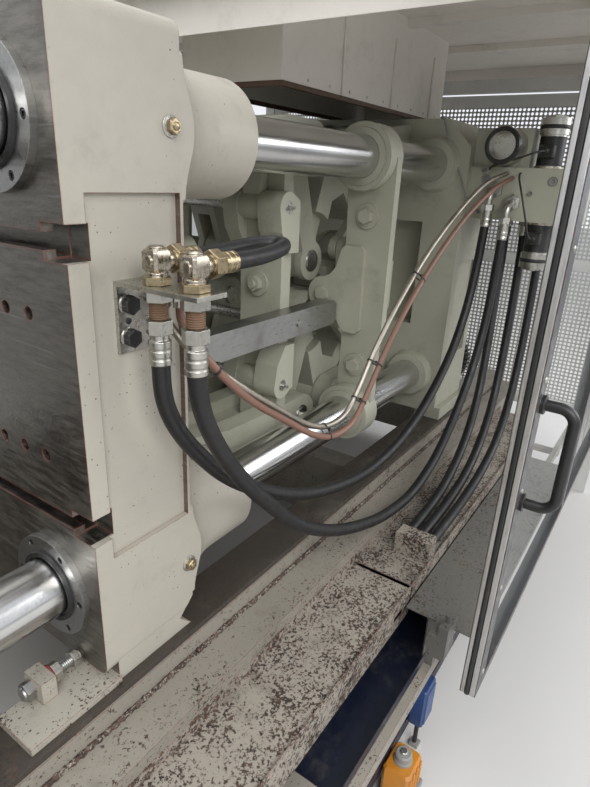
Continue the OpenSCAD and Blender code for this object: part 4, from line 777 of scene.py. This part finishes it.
def perforated(name, x, y0, y1, z0, z1):
    """A sheet with a grid of octagonal holes."""
    bm = bmesh.new()
    ny, nz = int((y1 - y0) / SHEET_PITCH), int((z1 - z0) / SHEET_PITCH)
    py, pz = (y1 - y0) / ny, (z1 - z0) / nz
    corner = {}

    def vertex(side, y, z):
        return bm.verts.new(Vector((x + side * SHEET_T, y, z)) / MM)

    def grid(i, j, side):
        if (i, j, side) not in corner:
            corner[i, j, side] = vertex(side, y0 + i * py, z0 + j * pz)
        return corner[i, j, side]

    octagon = [(math.cos(a) * SHEET_HOLE / 2, math.sin(a) * SHEET_HOLE / 2) for a in
               (math.radians(-112.5 + 45 * k) for k in range(8))]
    for i in range(ny):
        for j in range(nz):
            cy, cz = y0 + (i + 0.5) * py, z0 + (j + 0.5) * pz
            holes = [[vertex(side, cy + a, cz + b) for a, b in octagon] for side in (0, 1)]
            for side, hole in enumerate(holes):
                cell = [grid(i + a, j + b, side) for a, b in ((0, 0), (1, 0), (1, 1), (0, 1))]
                for k, this in enumerate(cell):
                    following = cell[(k + 1) % 4]
                    a, b, c = hole[2 * k], hole[2 * k + 1], hole[(2 * k + 2) % 8]
                    bm.faces.new((this, following, b, a))
                    bm.faces.new((following, c, b))
            front, back = holes
            for k in range(8):
                bm.faces.new((front[k - 1], front[k], back[k], back[k - 1]))
    for i in range(ny):
        for j in (0, nz):
            bm.faces.new((grid(i, j, 0), grid(i + 1, j, 0), grid(i + 1, j, 1), grid(i, j, 1)))
    for j in range(nz):
        for i in (0, ny):
            bm.faces.new((grid(i, j, 0), grid(i, j + 1, 0), grid(i, j + 1, 1), grid(i, j, 1)))
    o = made(name, bm, m_mesh)
    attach(o, "frame")


def end_guard():
    """Perforated sheets in a frame of square tube, with the screws that hold them."""
    post, low, gap = GUARD_POST, GUARD_LOW_RAIL, 2
    x0, x1, inner, top = GUARD_LO.x, GUARD_HI.x, GUARD_HI.y - GUARD_POST, GUARD_HI.z
    sheet_x, sheet_low, middle_rail = x0 + 3, low + post + 5, 1252
    perforated("guard_sheet_near", sheet_x, -inner, -gap, sheet_low, top - post)
    perforated("guard_sheet_far", sheet_x, gap, inner, sheet_low, top - post)
    p = Piece("end_guard_frame", m_guard, m_zinc)
    for y in (-inner - post, inner):
        p.slab((x0, y, 0), (x1, y + post, top), edge=3)
    for z in (low, middle_rail, top - post):
        p.slab((x0, -inner - 1, z), (x1, inner + 1, z + post), edge=3)
    p.slab((x0 + 1, -3, low + post - 1), (x0 + 8, 3, top - post + 1), edge=1)
    for y in (-inner - 14, inner + 14):
        for z in range(540, 2050, 180):
            p.turned((x0, y, z), TO_INJECTION, [(0, 8), (1.5, 8), (4, 5.5), (4.4, 2)], m_zinc, 14)
    p.done(node="end_guard")


def duct_strip():
    """The roof duct's brown edge strip, with rivets and ribs above it."""
    p = Piece("duct_strip", m_brown, m_zinc, m_roof)
    (x0, y0), (x1, y1), z0, z1, w = (1755, -291), (3016, 113), 1906, 1922, 10
    for lo, hi in (((x0, y0), (x1, y0 + w)), ((x0, y1 - w), (x1, y1)),
                   ((x0, y0 + w), (x0 + w, y1 - w)), ((x1 - w, y0 + w), (x1, y1 - w))):
        p.slab((*lo, z0), (*hi, z1), edge=2)
    for x in range(1900, 3000, 130):
        p.turned((x, y0 + 6, z1 + 18), TO_NEAR, [(-1, 5), (1, 5), (2.4, 3)], m_zinc, 12)
    for x in (2100, 2480, 2860):
        p.slab((x, y0 - 1, z1), (x + 26, y0 + 6.5, 2160), m_roof, 2)
    p.done()


def door_strips():
    """Seal and aluminium strips on the near door's leading edge, its screws and handle collars."""
    p = Piece("door_strips", m_alu, m_black, m_zinc)
    back, x1, z0, z1, depth = DOOR_HI.y, DOOR_LO.x + 0.5, DOOR_LO.z + 5, DOOR_HI.z - 5, 40
    p.slab((DOOR_LO.x - 6, back - 38, z0), (x1, back - 25, z1), edge=1.2)
    p.slab((DOOR_LO.x - 10, back - 24, z0), (x1, back - 14, z1), m_black, 2)
    p.slab((DOOR_LO.x - 5, back - 13, z0), (x1, back - 2, z1), edge=1.2)
    p.slab((WINDOW_LO.x + 2, WINDOW_LO.y - 2, WINDOW_LO.z), (WINDOW_LO.x + 8, WINDOW_HI.y + 2, WINDOW_HI.z),
           m_black, 1)
    screw, collar = [(-1, 7), (1, 7), (3, 4.5), (3.3, 2)], [(0, 21), (3, 21), (5, 17), (5, 12.5)]
    for z in range(520, 2080, 260):
        p.turned((DOOR_LO.x + 30, back - depth, z), TO_NEAR, screw, m_zinc, 14)
    for z in (1012, 1246):
        p.turned((DOOR_LO.x + 36, back - depth - 6, z), TO_NEAR, collar, m_black)
    p.done("near_door")


def flange_weld():
    """Weld beads along both flanges of the bed, in runs with short gaps."""
    p = Piece("flange_weld", m_weld)
    weld_y, weld_z, run, first, end = 624, 568, 430, -700, 3600

    def bead(i):
        return 6.5 + 1.5 * math.sin(i * 1.9) + random.uniform(-0.6, 0.6)

    for s in (-1, 1):
        for x in range(first, end, run):
            path = [(x + d, s * (weld_y + random.uniform(-1, 1)), weld_z + random.uniform(-1, 1))
                    for d in range(0, run - 3, 6)]
            p.swept(path, bead, 7)
    p.done()


def service_block():
    """The yellow pump and the blue box with its lead, on the floor under the door."""
    p = Piece("service_block", m_orange, m_grey, m_black, m_zinc, m_box)
    x, y = 1392, -1056
    p.slab((x - 50, y - 40, 22), (x + 50, y + 40, 132), edge=8)
    for rib in range(4):
        p.slab((x - 42 + 24 * rib, y - 45, 34), (x - 32 + 24 * rib, y - 38, 120), edge=2.5)
    p.turned((x, y, 131), UP, [(0, 27), (6, 27), (10, 24), (26, 24), (30, 20)], m_grey)
    p.hexagon((x, y, 160), UP, 7, 20, m_zinc)
    p.slab((x - 62, y - 50, 0), (x + 62, y + 44, 23), m_grey, 3)
    x, y = 1560, -1034
    p.slab((x - 40, y - 24, 120), (x + 40, y + 23, 262), m_box, 5)
    p.slab((x - 32, y - 28, 132), (x + 32, y - 22, 250), m_box, 2)
    p.turned((x, y, 121), DOWN, [(0, 13), (11, 13), (14, 10)], m_black, 20)
    p.slab((x - 15, y - 16, 0), (x + 15, y + 14, 12), m_grey, 2)
    p.turned((x, y, 108), DOWN, [(0, 7), (98, 7)], m_black, 14)
    p.done()


random.seed(7)
for make in (bracket_unions, bracket_screws, platen_plugs, bush_screws, shoe_screw_parts, conduit_ties,
             valve_caps, manifold_unions, end_guard, duct_strip, door_strips, flange_weld, service_block):
    make()

# Floor, backdrop and lights

FLOOR_HALF, FLOOR_COLOUR = 30, (0.66, 0.65, 0.63)
WORLD_COLOUR, WORLD_LIGHT, WORLD_SEEN = (0.93, 0.95, 1.0, 1), 0.52, 0.95


def floor():
    mesh = bpy.data.meshes.new("floor")
    mesh.from_pydata([(x * FLOOR_HALF, y * FLOOR_HALF, 0) for x, y in ((-1, -1), (1, -1), (1, 1), (-1, 1))],
                     [], [(0, 1, 2, 3)])
    o = bpy.data.objects.new("floor", mesh)
    scene.collection.objects.link(o)
    m = Mat("floor_paint", Roughness=0.7)
    darker = [v * 0.97 for v in FLOOR_COLOUR]
    m.set(Base_Color=m.mix(m.ramp(m.noise(0.7, 5), 0.35, 0.7), darker, FLOOR_COLOUR))
    mesh.materials.append(m.mat)


def backdrop():
    """A world that the camera, metal and glass see paler than it lights the object."""
    world = bpy.data.worlds.new("world")
    scene.world = world
    world.use_nodes = True
    tree = world.node_tree
    shader = tree.nodes["Background"]
    shader.inputs["Color"].default_value = WORLD_COLOUR
    rays = tree.nodes.new("ShaderNodeLightPath")
    seen = rays.outputs["Is Camera Ray"]
    for kind in ("Is Glossy Ray", "Is Transmission Ray"):
        either = tree.nodes.new("ShaderNodeMath")
        either.operation = "MAXIMUM"
        tree.links.new(seen, either.inputs[0])
        tree.links.new(rays.outputs[kind], either.inputs[1])
        seen = either.outputs[0]
    level = tree.nodes.new("ShaderNodeMapRange")
    level.inputs["To Min"].default_value = WORLD_LIGHT
    level.inputs["To Max"].default_value = WORLD_SEEN
    tree.links.new(seen, level.inputs["Value"])
    tree.links.new(level.outputs[0], shader.inputs["Strength"])


def lamp(name, place, target, size, power):
    data = bpy.data.lights.new(name, "AREA")
    data.shape = "RECTANGLE"
    data.size, data.size_y = size
    data.energy = power
    o = bpy.data.objects.new(name, data)
    scene.collection.objects.link(o)
    o.location = place
    o.rotation_euler = (Vector(target) - Vector(place)).to_track_quat("-Z", "Y").to_euler()


floor()
backdrop()
lamp("key", (-2.5, -5.5, 5.5), (1.2, -0.4, 1.2), (5, 4), 420)
lamp("fill", (5.5, -5.0, 3.5), (2.0, -0.6, 1.0), (4, 3), 160)
lamp("top", (0.5, 1.0, 6.5), (0.8, 0.0, 1.0), (6, 4), 200)
scene.view_settings.view_transform = "Standard"
